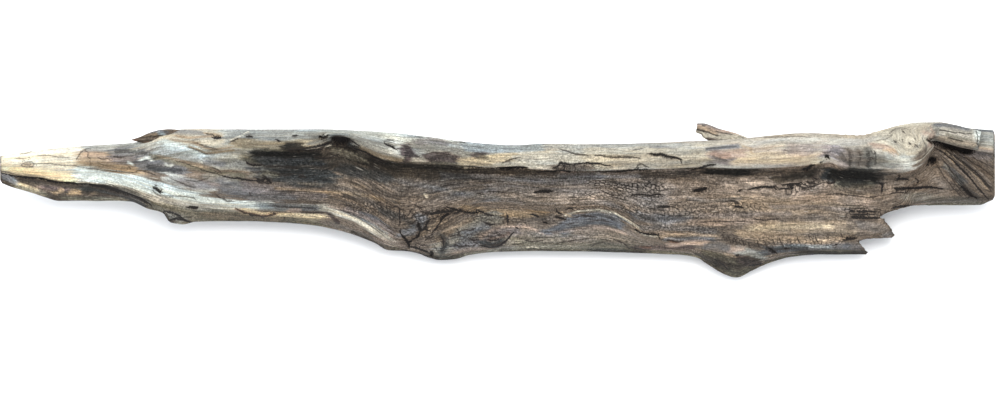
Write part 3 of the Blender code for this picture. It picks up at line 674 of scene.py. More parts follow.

# Cracks, slots and pits by size: half width, depth, then each one's line as a run of places.
# The shader fills each near-black, painted shade in its depth.
CRACKS = by_size(2, (
    (0.3, 0.3, (98, 163, 106, 165.5, 114, 166)),
    (0.3, 0.6, (954, 153, 968, 160, 984, 170, 995, 178)),
    (0.35, 0.3, (36, 164, 50, 163.5, 64, 165.5, 76, 166), (20, 153.5, 26, 153, 32, 152)),
    (0.35, 0.4, (84, 150, 88, 153, 87, 157, 91, 160)),
    (0.35, 0.5, (972, 157, 984, 163, 995, 168), (950, 176, 960, 190, 968, 199),
     (936, 164, 942, 172, 946, 180)),
    (0.35, 0.6, (568, 167, 571, 170), (578, 170, 582, 171.5), (945, 178, 955, 190, 962, 198),
     (572, 218, 584, 216, 596, 217), (590, 221.5, 603, 220.5, 612, 223), (566, 224, 576, 222.5),
     (608, 238, 618, 241, 628, 246)),
    (0.35, 0.7, (585, 165, 583.5, 168.5), (951, 155, 966, 166, 980, 178, 991, 191)),
    (0.4, 0.2, (888, 134, 896, 129, 906, 127), (876, 141, 886, 139, 894, 134)),
    (0.4, 0.3, (14, 158, 24, 158.5, 30, 157.5), (36, 156, 48, 155, 58, 157, 70, 158)),
    (0.4, 0.35, (72, 166, 86, 168, 100, 170, 118, 171.5, 138, 173)),
    (0.4, 0.4, (96, 157, 102, 159, 107, 158, 112, 161), (128, 166, 131, 169),
     (170, 178, 176, 181, 182, 183, 190, 187, 196, 188), (186, 180, 196, 182, 206, 179, 210, 178),
     (176, 161, 184, 163, 192, 166, 204, 169), (210, 167, 216, 169, 222, 173),
     (428, 140, 438, 141.5, 450, 142, 462, 143), (404, 136, 414, 137, 424, 137.5),
     (632, 150, 640, 149, 644, 148), (764, 138, 790, 136.5, 812, 137),
     (556, 243, 566, 241.5, 580, 240, 592, 238), (590, 247, 598, 243, 606, 241)),
    (0.4, 0.5, (250, 171, 256, 173, 262, 171)),
    (0.4, 0.6, (200, 169.5, 210, 172.5, 222, 175.5), (556, 170, 559, 167.5),
     (960, 155, 974, 163, 986, 171, 995, 178), (940, 156, 948, 166, 954, 176, 962, 185),
     (700, 222, 720, 221, 746, 222), (836, 204, 850, 206, 866, 205),
     (358, 206, 361, 207.5, 363, 210.5), (370, 208, 376, 209), (376, 209, 379, 211),
     (352, 209, 356, 211), (386, 206, 389, 209), (404, 214, 408, 217), (434, 246, 437, 250),
     (524, 240, 534, 241.5, 544, 240), (622, 243, 630, 249)),
    (0.4, 0.7, (592, 164, 594, 167), (407, 207, 411, 206.5), (412, 209, 410, 213),
     (472, 246, 478, 243), (424, 242, 428, 238, 434, 233), (416, 243, 422, 246, 426, 244),
     (488, 231.5, 494, 233.5, 501, 232), (497, 236.5, 503, 234.5)),
    (0.4, 0.8, (574, 165, 575.5, 169, 574, 172)),
    (0.4, 0.9, (946, 151, 956, 157, 968, 165.5, 980, 176, 992, 189)),
    (0.45, 0.5, (76, 160, 79, 156, 81, 152, 85, 149.5, 92, 149)),
    (0.45, 0.7, (376, 203, 380, 201.5, 382, 205), (392, 207, 396, 206, 400, 208.5)),
    (0.45, 0.8, (450, 237, 456, 234.5, 463, 237), (463, 229, 470, 231, 476, 228.5),
     (454, 244, 461, 247, 470, 245)),
    (0.45, 0.9, (562, 163, 565, 168, 563, 171)),
    (0.5, 0.25, (922, 138, 926, 146, 926, 154, 922, 161, 914, 166)),
    (0.5, 0.3, (24, 165, 30, 165.5)),
    (0.5, 0.35, (21, 165.5, 25, 162.5, 31, 162, 34, 164.5, 32, 167, 26, 167.5, 21, 165.5)),
    (0.5, 0.4, (160, 194.5, 172, 195.8, 184, 196.5, 194, 197.2, 197, 200),
     (186, 147, 192, 148.5, 198, 151, 204, 153.5, 214, 154),
     (196, 143, 204, 146.5, 212, 147.5, 218, 149)),
    (0.5, 0.5, (136, 171, 140, 170, 142, 172), (140, 170, 150, 173, 156, 175),
     (428, 154, 434, 152.5, 442, 153, 450, 152.5), (430, 158, 432, 163), (438, 157, 440, 162),
     (446, 156, 449, 161), (822, 152, 826, 153, 832, 152)),
    (0.5, 0.6, (112, 156, 120, 158, 126, 157), (276, 174, 284, 175, 294, 174),
     (262, 166, 280, 166.5, 300, 168), (249, 192, 251, 195), (230, 142, 238, 139),
     (268, 206, 290, 206.5, 304, 208, 316, 209), (386, 140, 390, 139.5, 393, 141),
     (636, 168, 638, 165, 641, 163.5, 645, 166, 650, 168)),
    (0.5, 0.7, (300, 212.3, 312, 212.8, 326, 213), (334, 154, 338, 157, 346, 157.5),
     (488, 192, 500, 191.5, 510, 193), (711, 206.5, 716, 208.5), (752, 219, 766, 220, 780, 219),
     (826, 194, 840, 194, 856, 196, 872, 198), (868, 195, 872, 197.5, 878, 196),
     (414, 205, 420, 208, 426, 207), (406, 222, 412, 224, 416, 221), (424, 236, 430, 239, 434, 237),
     (412, 216, 416, 214), (666, 240, 676, 242, 684, 241), (630, 247, 640, 249)),
    (0.5, 0.8, (217, 169, 220, 171.5), (258, 183, 264, 182.5, 270, 183.5), (262, 176, 266, 176.5),
     (594, 171, 604, 172.5, 616, 171, 630, 170.5), (680, 160, 682, 164),
     (888, 194, 900, 192, 910, 193), (896, 174, 900, 176, 896, 180), (477, 193, 484, 194.5),
     (672, 206, 676, 208, 680, 211), (600, 190, 611, 195, 622, 195.5),
     (456, 228, 459, 232, 458, 236)),
    (0.5, 0.9, (468, 238, 474, 241, 478, 239)),
    (0.5, 1, (400, 209, 399.5, 216, 400, 222, 399.5, 226), (400, 230, 400.5, 234)),
    (0.5, 1.2, (940, 150, 950, 158, 958, 165, 966, 173, 974, 183, 980, 192)),
    (0.6, 0.5, (152, 189.5, 155, 192.5, 159, 194.5, 166, 196.5, 174, 197.5),
     (216, 194, 219, 197, 223, 199, 228, 202, 232, 201), (205, 133, 210, 134.5, 214, 134)),
    (0.6, 0.6, (866, 161, 869, 162), (874, 151, 876, 153)),
    (0.6, 0.7, (89, 163, 92, 163.5), (286, 150, 296, 150.5, 306, 150),
     (236, 208.5, 241, 211.5, 250, 214, 262, 216.3, 276, 215),
     (560, 149, 568, 151, 574, 153.5, 582, 154.5, 589, 155.5),
     (594, 155.5, 604, 156, 614, 157.5, 626, 157, 640, 158)),
    (0.6, 0.8, (298, 177, 302, 175.5, 306, 177), (262, 214, 263, 217), (272, 213, 276, 214),
     (284, 217, 285, 219), (304, 151, 314, 150, 322, 149.5),
     (313, 156, 322, 158.5, 330, 157.5, 336, 155, 340, 154), (463, 166.5, 474, 167, 484, 167.5),
     (915, 178, 919, 181.5, 916, 185), (724, 202, 732, 201, 740, 203),
     (420, 211, 426, 213, 431, 211), (658, 236, 660, 239)),
    (0.6, 0.9, (250, 215, 254, 216.5), (796, 186, 804, 184.5, 814, 182),
     (800, 190, 810, 187, 820, 184), (812, 177, 818, 179), (826, 181, 830, 184, 836, 181)),
    (0.6, 1, (352, 147, 364, 152, 376, 158, 386, 162),
     (538, 172, 548, 171, 556, 171, 564, 170, 572, 172),
     (630, 195, 640, 194.5, 652, 195, 660, 194.5, 663, 196.5), (780, 185, 794, 183.5, 808, 181),
     (775, 190, 784, 188.5, 794, 189), (432, 232, 436, 228, 440, 224, 443, 219)),
    (0.6, 1.2, (934, 147, 944, 153.5, 952, 160, 960, 168, 970, 178.5, 980, 189.5, 989, 200)),
    (0.7, 0.6, (902, 139, 903, 141), (914, 138, 916, 139.5)),
    (0.7, 0.7, (502, 162.5, 508, 161, 513, 159, 519, 158), (868, 152, 870, 154),
     (871, 157, 874, 159), (909, 142, 911, 144.5), (915, 144, 918, 147), (894, 141, 897, 143)),
    (0.7, 0.9, (441, 236, 444, 240, 443, 246)),
    (0.7, 1, (572, 165, 578, 163.5, 588, 163, 598, 163.5, 604, 165.5, 612, 166.5),
     (926, 166, 929, 163.5), (895, 190.5, 899, 188), (738, 190.5, 742, 190),
     (850, 214, 860, 214, 868, 213.5), (476, 209, 482, 212, 488, 214.5, 494, 216),
     (484, 222, 490, 224.5, 496, 225), (530, 214, 536, 215.5, 540, 218),
     (566, 209, 570, 207.5, 574, 209), (516, 227, 519, 229), (487, 239, 493, 240.5, 499, 239),
     (718, 262, 724, 266, 728, 271)),
    (0.7, 1.2, (344, 138, 352, 141, 360, 146), (556, 209, 558, 213, 562, 214)),
    (0.7, 1.4, (222, 175.5, 234, 178, 246, 180, 260, 181.5),
     (246, 161, 248, 164, 254, 165, 262, 164.5)),
    (0.8, 0.8, (460, 142, 466, 143), (903, 131, 905, 133)),
    (0.8, 1, (292, 136, 298, 136), (276, 139.5, 281, 141), (894, 179.5, 902, 179, 909, 180)),
    (0.8, 1.2, (552, 168, 558, 166, 560, 162.5, 566, 164, 572, 165),
     (848, 210, 856, 211.5, 866, 210.5, 877, 211.5), (425, 228.5, 427, 222, 430, 219.5),
     (480, 245, 490, 248, 500, 245.5, 508, 239, 514, 232.5)),
    (0.8, 1.4, (256, 178.5, 260, 180, 265, 180.5), (170, 219.5, 176, 218, 182, 219.5),
     (610, 172, 622, 171, 636, 169, 650, 170.5), (820, 162.5, 823, 161.5), (834, 245, 838, 244),
     (452, 214, 458, 212.5, 462, 210)),
    (0.8, 1.5, (163, 211, 165, 215, 168, 220, 173, 223),
     (163, 211, 172, 212.5, 180, 216, 186, 220.5, 192, 222)),
    (0.9, 1.2, (302, 149.5, 308, 147.5, 316, 146.5, 324, 144.5, 330, 142)),
    (0.9, 1.3, (748, 190, 754, 188, 762, 187, 770, 187.5, 780, 185)),
    (0.9, 1.4, (690, 170, 700, 168.5, 708, 165.5, 716, 164.5), (892, 208, 900, 206.5, 910, 205),
     (409, 246, 418, 248.5, 426, 251.5, 430, 254), (506.5, 214, 507.5, 219, 508, 224),
     (735, 256, 740, 254.5), (748, 266, 756, 265, 764, 263)),
    (0.9, 1.6, (878, 182, 882.5, 183.5, 882, 187, 881.5, 192), (421, 231, 425, 228.5, 429, 230.5)),
    (1, 1, (187, 207.5, 191, 207, 195, 208, 199, 208), (246, 137, 249, 136.3, 253, 137)),
    (1, 1.3, (384, 141.5, 388, 144.5, 392, 147, 397, 149.5)),
    (1, 1.4, (735, 207, 740, 206.5, 743, 207.5), (784, 249, 790, 248)),
    (1, 1.6, (893, 188.5, 906, 188, 918, 187.8, 930, 187.2, 944, 188.6),
     (657, 207, 664, 206.3, 671, 206.2), (554, 216.5, 560, 218, 566, 219)),
    (1, 1.8, (439, 224, 441, 219, 444, 215, 450, 213.5),
     (446, 206, 452, 208.5, 458, 209.5, 464, 211.5, 470, 212, 479, 212.5)),
    (1, 2, (0, 173, 14, 176.5, 30, 178, 45, 180, 56, 183, 75, 184, 96, 185.5)),
    (1.1, 1.2, (534, 192.5, 540, 191.5, 547, 191.5, 553, 191)),
    (1.1, 1.6, (297, 152, 300, 151)),
    (1.1, 1.8, (265, 178, 269, 180, 272, 183), (802, 169.5, 807, 169.5, 811, 166.5, 815, 165)),
    (1.1, 2, (497, 168.3, 504, 168.8, 512, 168.2, 520, 168.4, 528, 167.6),
     (852, 217.8, 860, 217, 870, 217.5, 880, 217.5)),
    (1.1, 2.2, (634, 229.5, 640, 231.5, 648, 233.5, 656, 234.5, 660, 234.2)),
    (1.1, 2.4, (409, 242.5, 412, 240, 416, 237, 420, 232)),
    (1.2, 1.5, (213, 137.5, 217, 137.2, 222, 138), (543, 222, 548, 224)),
    (1.2, 1.8, (649, 154, 655, 155, 661, 154.6, 668, 157, 676, 158.5, 681, 160)),
    (1.2, 2, (430, 214.5, 437, 212.5, 444, 211, 452, 211)),
    (1.2, 2.6, (401, 234.5, 404, 238, 407, 241, 408.5, 245, 408, 248)),
    (1.3, 1.6, (768, 247, 772, 251, 776, 253)),
    (1.3, 2.4, (842, 239.5, 848, 238.5, 856, 238)),
    (1.3, 2.6, (417.5, 222, 419, 226, 421, 231)),
    (1.4, 2, (90, 186, 105, 187.5, 118, 191, 130, 195, 142, 200, 152, 206)),
    (1.5, 2.5, (958, 184, 964, 188.5, 970, 194, 977, 199)),
    (1.5, 5, (694, 190.5, 700, 190, 707, 188.5)),
    (1.6, 2, (153, 186.2, 156, 187.5, 159, 188.5)),
    (1.6, 2.4, (789, 183.5, 791, 187, 792, 189), (431, 252, 432, 256.5)),
    (1.6, 3, (825, 155.5, 828.5, 158.5)),
    (1.9, 2, (157, 189.5, 160, 190.8, 163, 191.5)),
    (2, 4, (320, 138, 324, 136, 328, 135.5)),
    (2.6, 4, (333, 138.5, 339, 141.5, 345, 141, 350, 140)),
    (3, 8, (930.5, 158.5, 933.5, 161, 935, 163.5)),
    (3.4, 9, (928, 138, 940, 143, 952, 148, 964, 151, 973, 151.5)),
))
# Short drying ticks across the grain above the lower lip: along and down of the top end, length.
TICKS = (
    (722, 234, 6), (728, 236, 7), (734, 237, 7), (741, 239, 7), (748, 242, 6), (756, 240, 6),
    (764, 240, 7), (772, 239, 6), (779, 238, 8), (789, 239, 5), (797, 237, 7), (808, 235, 6),
    (815, 236, 7), (827, 233, 5), (840, 232, 6),
)


def ring(along, down, half_along, half_down):
    """The (along, down) run of an oval line round a place, for the edge of a branch scar."""
    run = []
    for step in range(13):
        turned = math.radians(30 * step)
        run += [along + half_along * math.cos(turned), down + half_down * math.sin(turned)]
    return run


# The back's drying cracks and the rings of its branch scars: half width, depth, line.
BACK_CRACKS = with_places(2, (
    (0.9, 1.6, 60, 170, 120, 172, 190, 166, 260, 168, 330, 162),
    (0.6, 1.2, 150, 184, 240, 182, 300, 178, 380, 181),
    (1.1, 2, 400, 172, 440, 170, 500, 165, 590, 169, 640, 166),
    (0.6, 1, 470, 182, 560, 190, 640, 186, 700, 189),
    (0.9, 1.6, 690, 158, 760, 163, 840, 160),
    (0.7, 1.2, 780, 186, 850, 183, 930, 187, 970, 184),
    (0.5, 0.9, 340, 205, 400, 202, 450, 206),
    (0.5, 0.9, 500, 215, 560, 212, 640, 216),
    (0.6, 1, 200, 200, 260, 197, 310, 201),
    (0.5, 0.9, 700, 205, 780, 201, 860, 206),
    (0.5, 0.9, 530, 152, 600, 155, 650, 151),
    (0.6, 1, 860, 168, 920, 165, 980, 170),
    (0.8, 0.8, *ring(300, 146, 9, 5.5)),
    (0.7, 1.6, 296, 147, 301, 145, 305, 147),
    (0.5, 0.5, *ring(300, 146.5, 16, 9.5)),
    (0.8, 0.8, *ring(660, 156, 8, 5)),
    (0.7, 1.6, 657, 156, 661, 157, 664, 155),
    (0.5, 0.5, *ring(660.5, 156, 15, 8.5)),
))
BACK_PATCHES = with_places(3, (
    ("umber", 0.8, 7, 296, 146, 304, 146),
    ("umber", 0.8, 6, 656, 156, 664, 156),
    ("rust", 0.35, 7, 400, 176, 480, 173, 560, 176),
    ("bleached", 0.6, 5, 150, 160, 230, 158, 300, 160),
    ("bleached", 0.5, 5, 700, 172, 780, 174, 850, 172),
    ("charcoal", 0.5, 5, 560, 196, 640, 197, 720, 200),
    ("slate", 0.5, 6, 240, 190, 330, 192, 400, 194),
    ("tan", 0.5, 7, 820, 150, 880, 152, 940, 156),
    ("honey", 0.35, 4, 480, 156, 520, 158, 580, 158),
))

# Broad zones of the back's paint: tone, strength, the noise where it starts and is full, the
# noise's waves along and across the grain in mm, and its seed.
BACK_ZONES = (
    ("grey", 1, -0.5, 0.5, 120, 12, 61),
    ("brown", 1, 0, 0.7, 90, 7, 67),
    ("silver", 0.8, 0.1, 0.6, 150, 9, 73),
    ("umber", 0.8, 0.22, 0.6, 130, 5, 53),
    ("mauve", 0.7, 0.25, 0.6, 70, 14, 55),
    ("charcoal", 0.7, 0.4, 0.75, 45, 2.5, 57),
)
# Thin raised or pale lines: tone, half width, height, line.
FIBRES = with_places(3, (
    ("cream", 0.7, 0.3, 231, 140.3, 240, 136.2, 249, 131.4),
    ("ivory", 1, 0.5, 325, 146, 331, 145),
    ("ivory", 1.4, 0.4, 425.5, 194, 426.5, 197),
    ("cream", 1, 0.8, 566, 215, 578, 211, 598, 210, 614, 213, 628, 221, 640, 229),
    ("cream", 1, 0.8, 636, 231, 646, 235, 658, 237),
    ("ivory", 0.8, 0.3, 527, 247.5, 529, 247),
    ("ivory", 0.7, 0.3, 532, 246.5, 533, 246.5),
    ("ivory", 0.8, 0.3, 536, 247, 538, 248),
    ("tan", 1, 0.6, 556, 214, 562, 212, 570, 216),
    ("bluegrey", 0.9, 0.4, 12, 177, 15, 181),
    ("honey", 0.7, 0.3, 945, 154, 952, 160, 956, 164),
    ("fawn", 0.8, 0.3, 940, 152, 950, 160, 960, 170, 970, 181, 980, 193),
    ("tan", 0.7, 0.3, 944, 151, 956, 159, 966, 166.5, 978, 178, 988, 190),
    ("fawn", 0.9, 0.3, 952, 153, 964, 160, 978, 170, 992, 184),
    ("grey", 1, 0.3, 944, 164, 954, 176, 964, 190),
    ("pink", 0.9, 0.5, 560, 172, 574, 172),
))

# Places broken into small scales by drying: strength, half width, line. The shader paints each
# scale lighter in its middle as light on its raised top, with painted shade in the gaps between.
CHECKED = with_places(2, (
    (0.13, 22, 590, 196, 680, 200, 800, 205, 860, 206),
    (0.5, 6, 640, 205, 700, 208, 760, 206),
    (1.2, 5, 590, 183, 620, 187, 660, 187),
    (0.8, 4, 575, 196, 660, 196),
    (1, 4, 575, 207, 600, 207, 636, 211),
    (0.55, 4, 640, 212, 690, 214, 760, 209),
    (0.7, 5, 790, 191, 815, 185, 834, 181),
    (0.55, 6, 735, 241, 770, 243, 800, 243, 840, 240),
    (0.6, 3.5, 640, 228, 690, 229, 725, 233),
    (0.8, 5, 848, 213, 880, 212),
    (0.8, 7, 350, 207, 400, 213, 440, 219),
    (0.5, 8, 420, 236, 440, 230),
    (0.6, 5, 545, 218, 556, 222),
    (0.5, 7, 470, 216, 500, 219, 520, 222),
    (0.5, 5, 560, 166, 600, 168),
    (0.5, 7, 460, 240, 478, 232),
))
# Marks with a crisp edge, by half width: darker marks, then paler spots. The darker marks are
# stains in places and painted shade in others: the strips just under the ridge's lower edge, the
# groove under the tip's edge, the bottom edges and the dark lines of the bands before the knob.
STAINS_AND_SHADE = by_size(1, (
    (0.7, (256, 164, 260, 165)),
    (0.8, (262, 157, 267, 157.5), (264, 149, 269, 149), (248, 156, 252, 157)),
    (0.9, (257, 153, 264, 152.5), (706, 149, 722, 147.4, 736, 146.2)),
    (1, (411, 154, 420, 156.5), (252, 160, 258, 161)),
    (1.1, (859, 151, 860, 158, 859, 166)),
    (1.2, (434, 162, 442, 163), (270, 173, 284, 173), (332, 136.5, 338, 136, 345, 138),
     (350, 168, 358, 170, 364, 169), (875, 152, 876, 158, 875, 164),
     (168, 212.5, 178, 216, 190, 221), (713, 156.5, 720, 158.5, 727, 160),
     (20, 178.5, 44, 182, 64, 186, 96, 188, 120, 193)),
    (1.3, (64, 187.5, 96, 189.5, 118, 193), (849, 151, 850.5, 158, 849.5, 166)),
    (1.4, (640, 177.5, 668, 176.5), (500, 250.5, 540, 250, 590, 250.5),
     (584, 216, 600, 216, 614, 219)),
    (1.5, (167, 214, 168, 219, 176, 222)),
    (1.6, (407, 154, 405, 159, 404, 162), (358, 161, 364, 164, 372, 165),
     (716, 171.5, 740, 172, 784, 171.5), (640, 173, 670, 173, 704, 171.5)),
    (1.7, (930.5, 156.5, 935.5, 162.5), (868, 152, 869, 160, 868, 166)),
    (1.8, (444, 154.5, 450, 156.5, 455, 160), (300, 178, 314, 177, 326, 179.5),
     (486, 243, 494, 245.5, 502, 242.5), (558, 230, 576, 228, 592, 227),
     (440, 238, 446, 244, 441, 251)),
    (1.9, (352, 232.5, 368, 241.3, 384, 248.8)),
    (2, (266, 168, 280, 170, 300, 170), (808, 252.5, 840, 253.5, 862, 253),
     (590, 251, 620, 252, 650, 252.5), (844, 172.5, 850, 172, 856, 172.5),
     (400, 252, 420, 256, 432, 258), (738, 258, 752, 262, 760, 263),
     (116, 151, 132, 151.5, 146, 153)),
    (2.2, (322, 138, 326, 136.5), (338, 145, 347, 147, 356, 151), (372, 158, 390, 162, 404, 165.5),
     (330, 214, 334, 219, 338, 222.5), (640, 217, 664, 219, 684, 217)),
    (2.4, (431, 159, 438, 156, 445, 157), (408, 165, 430, 166.5, 462, 168.5),
     (832, 150, 840, 153, 845, 160), (950, 170, 957, 180, 966, 188)),
    (2.6, (406, 146.5, 408, 149.5), (476, 155, 485, 155.5), (842, 184, 854, 186, 866, 184),
     (334, 139, 341, 142, 347, 141.5), (784, 177, 790, 178, 797, 176),
     (440, 259, 452, 258, 462, 255), (768, 249, 790, 247.5, 806, 248)),
    (3, (287, 147, 295, 148, 301, 147), (784, 178, 800, 174.5, 818, 171.5),
     (288, 166, 306, 167, 330, 168), (702, 171.6, 730, 172.2, 756, 171.8),
     (470, 171, 500, 171.5, 556, 173.5), (150, 166.5, 166, 169, 180, 171)),
    (3.2, (408, 150, 411, 153)),
    (3.4, (716, 263, 730, 268)),
    (4.6, (270, 157, 290, 158, 318, 158)),
    (5.2, (832, 175.5, 850, 178.5, 879, 176)),
))
PALE_SPOTS = by_size(1, (
    (0.7, (230, 140.6, 239, 136.6, 248, 131.6)),
    (0.9, (276, 188, 310, 191, 350, 193)),
    (1.1, (128, 162, 132, 164), (340, 190, 420, 204, 450, 206)),
    (1.2, (139, 160, 146, 157.5, 152, 160.5), (163, 165, 168, 166.5, 173, 165.5),
     (640, 234, 680, 234.5, 716, 235.5)),
    (1.4, (672, 246, 690, 243.5, 706, 243.5), (196, 186, 214, 184, 230, 181)),
    (1.6, (762, 246.5, 790, 245.5, 812, 246), (384, 238, 396, 243, 404, 247)),
    (1.8, (247, 212, 262, 214, 290, 214.5, 320, 216, 336, 218), (56, 193, 60, 191),
     (70, 193, 79, 192), (548, 219, 564, 216, 570, 217), (742, 266, 747, 270)),
    (2, (166, 143, 180, 147, 194, 151, 204, 155.5)),
    (2.2, (324, 208, 340, 214, 358, 221, 374, 232), (62, 199, 90, 200, 118, 201)),
))
# Where the whole paint is lighter or darker: factor, half width, line. Many of these are painted
# light and shade: they lift the paint under the tip's edge and under the ridge, where the studio's
# shade falls deep, brighten the tip where less lamp light reaches it, and darken the knob's lit top
# and the bottom edges; others set the wood's tone.
WASHES = with_places(2, (
    # painted light on the tapered tip, where less lamp light reaches it
    (1.19, 14, 0, 158, 75, 158),
    (1.26, 4.5, 5, 171, 40, 174, 75, 178),
    (1.12, 6, 85, 176, 120, 180, 170, 192),
    (1.2, 5, 130, 172, 160, 175, 195, 178),
    (0.84, 4, 262, 207, 325, 209),
    (0.85, 4, 236, 218, 290, 221),
    (1.15, 9, 262, 162, 328, 163),
    (1.3, 3, 598, 176, 640, 177),
    # painted light under the ridge, where the studio's shade falls deep
    (1.18, 7, 730, 186, 780, 187, 836, 186),
    (1.12, 12, 720, 200, 780, 202, 860, 204),
    (1.27, 7, 830, 151, 842, 158),
    (0.92, 8, 415, 146, 465, 150),
    (0.85, 5, 445, 221, 500, 221, 545, 219),
    (1.16, 14, 895, 182, 940, 178),
    (1.1, 5, 770, 248, 840, 248),
    # painted light under the tip's edge, where the studio's shade falls deep
    (1.35, 6, 14, 184, 28, 190, 44, 195),
    (1.28, 3.5, 40, 187, 60, 190, 84, 193),
    (1.18, 3, 44, 180, 66, 182, 92, 183.5),
    (0.95, 6, 750, 228, 780, 226, 800, 227),
    (1.06, 5, 805, 224, 836, 225),
    # painted shade on the knob's lit top
    (0.87, 6, 885, 133, 905, 130, 928, 128),
    # painted shade along the bottom edges, which face down
    (0.7, 3, 592, 251.5, 640, 252.5),
    (0.68, 3, 770, 261, 800, 255, 830, 254.5),
    (0.76, 3.5, 402, 254, 430, 258, 450, 258),
    (0.85, 4, 726, 271, 740, 275, 752, 270),
    # painted light under the ridge
    (1.25, 4, 745, 180, 785, 183, 832, 185),
    (1.1, 8, 905, 158, 925, 160, 950, 158),
    (0.8, 5, 362, 151, 385, 158, 400, 162),
    (0.82, 6, 322, 162, 360, 164, 400, 168),
    (0.85, 6, 845, 160, 862, 162, 878, 162),
    (0.9, 9, 704, 200, 740, 204, 790, 208),
    (0.88, 6, 722, 238, 760, 243, 800, 242),
    (1.12, 6, 196, 168, 225, 171, 250, 175),
    (1.12, 6, 200, 148, 225, 150, 240, 152),
    (1.15, 6, 4, 176, 20, 180, 36, 184),
    (0.85, 5, 40, 194, 70, 197, 100, 198),
    (0.88, 6, 120, 188, 150, 192),
    (0.84, 7, 366, 238, 385, 246, 404, 248),
    (0.88, 7, 360, 196, 400, 200),
    (1.12, 6, 440, 222, 476, 224),
    (0.88, 7, 596, 247, 640, 249),
    (0.86, 5, 690, 162, 716, 163),
    (1.14, 5, 636, 228, 680, 228),
    (1.15, 4, 480, 171, 556, 173),
    (1.12, 5, 600, 174, 640, 175),
    (1.04, 6, 842, 208, 880, 210),
    (0.93, 12, 796, 204, 850, 206),
    # painted light under the tip's edge
    (1.2, 4, 44, 184, 80, 187),
    # painted light under the ridge
    (1.12, 6, 760, 186, 800, 188),
    (0.88, 8, 950, 166, 980, 176, 985, 184),
    (0.92, 5, 240, 144, 300, 146),
    (0.94, 10, 900, 140, 915, 146),
    (0.86, 12, 940, 132, 975, 138),
    (1.15, 6, 480, 171, 540, 171),
    # painted shade along the bottom edge
    (0.88, 5, 405, 254, 440, 258, 470, 255),
    (1.07, 7, 566, 170, 640, 173),
    (1.15, 7, 140, 164, 182, 168),
    (1.1, 7, 90, 158, 118, 162),
    (0.85, 5, 200, 214, 250, 217, 300, 219),
    (0.9, 8, 280, 192, 340, 193, 400, 196),
    (0.82, 7, 235, 134, 300, 134, 345, 136, 380, 140),
    (0.82, 5, 236, 143, 262, 145, 290, 146),
    (0.88, 6, 350, 145, 385, 150),
    (0.93, 12, 480, 158, 600, 158, 690, 158),
    (0.88, 7, 866, 158, 876, 160, 892, 163),
    (0.9, 7, 846, 156, 864, 158),
    (1.2, 13, 500, 192, 560, 192, 600, 192),
    (1.24, 13, 570, 194, 620, 194, 662, 194),
    (1.18, 12, 670, 188, 760, 188),
    (1.25, 4, 740, 240, 840, 240),
    (0.82, 4, 930, 200, 980, 200),
    (0.85, 6, 484, 234, 512, 234),
    # painted shade along the bottom of the bump
    (0.9, 8, 715, 262, 755, 264),
    (0.93, 10, 440, 240, 480, 232),
))


def line_offset(along, down, points, half_width):
    """(offset, beyond): signed distance from a line through points, as a share of its half width
    there (+ above it, - below it), and how far past the line's ends a point lies, in mm.

    The half width tapers towards both ends as the root of a sine.
    """
    best = np.full(along.shape, 99.0)
    offset, beyond = best.copy(), np.zeros(along.shape)
    line = np.array(points, float)
    steps = np.hypot(*np.diff(line, axis=0).T)
    total, gone = steps.sum(), 0.0
    for k, (start, end, step) in enumerate(zip(line[:-1], line[1:], steps)):
        heading = (end - start) / max(step, 1e-6)
        place = (along - start[0]) * heading[0] + (down - start[1]) * heading[1]
        share = np.clip(place, 0, step)
        side = (along - start[0]) * heading[1] - (down - start[1]) * heading[0]
        away = np.hypot(along - start[0] - heading[0] * share, down - start[1] - heading[1] * share)
        swell = np.sin(np.pi * np.clip((gone + share) / total, 0.0, 1.0))
        width = half_width * (0.3 + 0.7 * np.sqrt(np.maximum(swell, 0.0)))
        past = np.zeros(along.shape)
        if k == 0:
            past = np.maximum(past, -place)
        if k == len(steps) - 1:
            past = np.maximum(past, place - step)
        closer = away < best
        best = np.where(closer, away, best)
        offset = np.where(closer, np.where(side < 0, -away, away) / width, offset)
        beyond = np.where(closer, past, beyond)
        gone += step
    return offset, beyond


def beside(along, down, points, margin):
    """True for the points inside the box round a line, widened by margin."""
    line = np.array(points, float)
    low, high = line.min(axis=0) - margin, line.max(axis=0) + margin
    return (along > low[0]) & (along < high[0]) & (down > low[1]) & (down < high[1])


def reach_of(along, down, points, half_width):
    """Distance from a line in half widths, worked out only near the line."""
    near = beside(along, down, points, 2.2 * half_width + 2)
    reach = np.full(along.shape, FAR)
    line = np.array(points, float)
    best = np.full(int(near.sum()), 99.0)
    for start, end in zip(line[:-1], line[1:]):
        heading = end - start
        share = (along[near] - start[0]) * heading[0] + (down[near] - start[1]) * heading[1]
        share = np.clip(share / max(heading @ heading, 1e-6), 0, 1)
        over = along[near] - start[0] - heading[0] * share
        across = down[near] - start[1] - heading[1] * share
        best = np.minimum(best, np.hypot(over, across))
    reach[near] = best / half_width
    return reach


# The wood's grain and relief


def grain_lines(points, turn):
    """(run, line): how far along the grain a point is, and which grain line it is on, in mm.

    A grain line keeps its rail all along the wood. A rounded hump added to its number bends the
    lines round the knob, and a ramp slants them across the wedge at the right end.
    """
    along, down = points[..., 0], DATUM - points[..., 1]
    line = np.interp(turn, np.arange(len(SPAN_WIDTHS) + 1), np.cumsum((0,) + SPAN_WIDTHS))
    run = along + 0.0 * line
    off_along, off_down = (along - KNOB_ALONG) / KNOB_LENGTH, (down - KNOB_DOWN) / KNOB_HEIGHT
    knob = np.exp(-off_along ** 2 - off_down ** 2)
    line = line - 16.0 * knob * ease(3.8, 3.2, turn)
    front = ease(3.2, 3.6, turn) * ease(9.4, 8.6, turn)
    past = along - WEDGE_ALONG - (down - WEDGE_DOWN) * WEDGE_SLANT
    ramp = 4.0 * np.logaddexp(0.0, past / 4.0)
    line = line - 1.35 * ramp * front
    return run, line


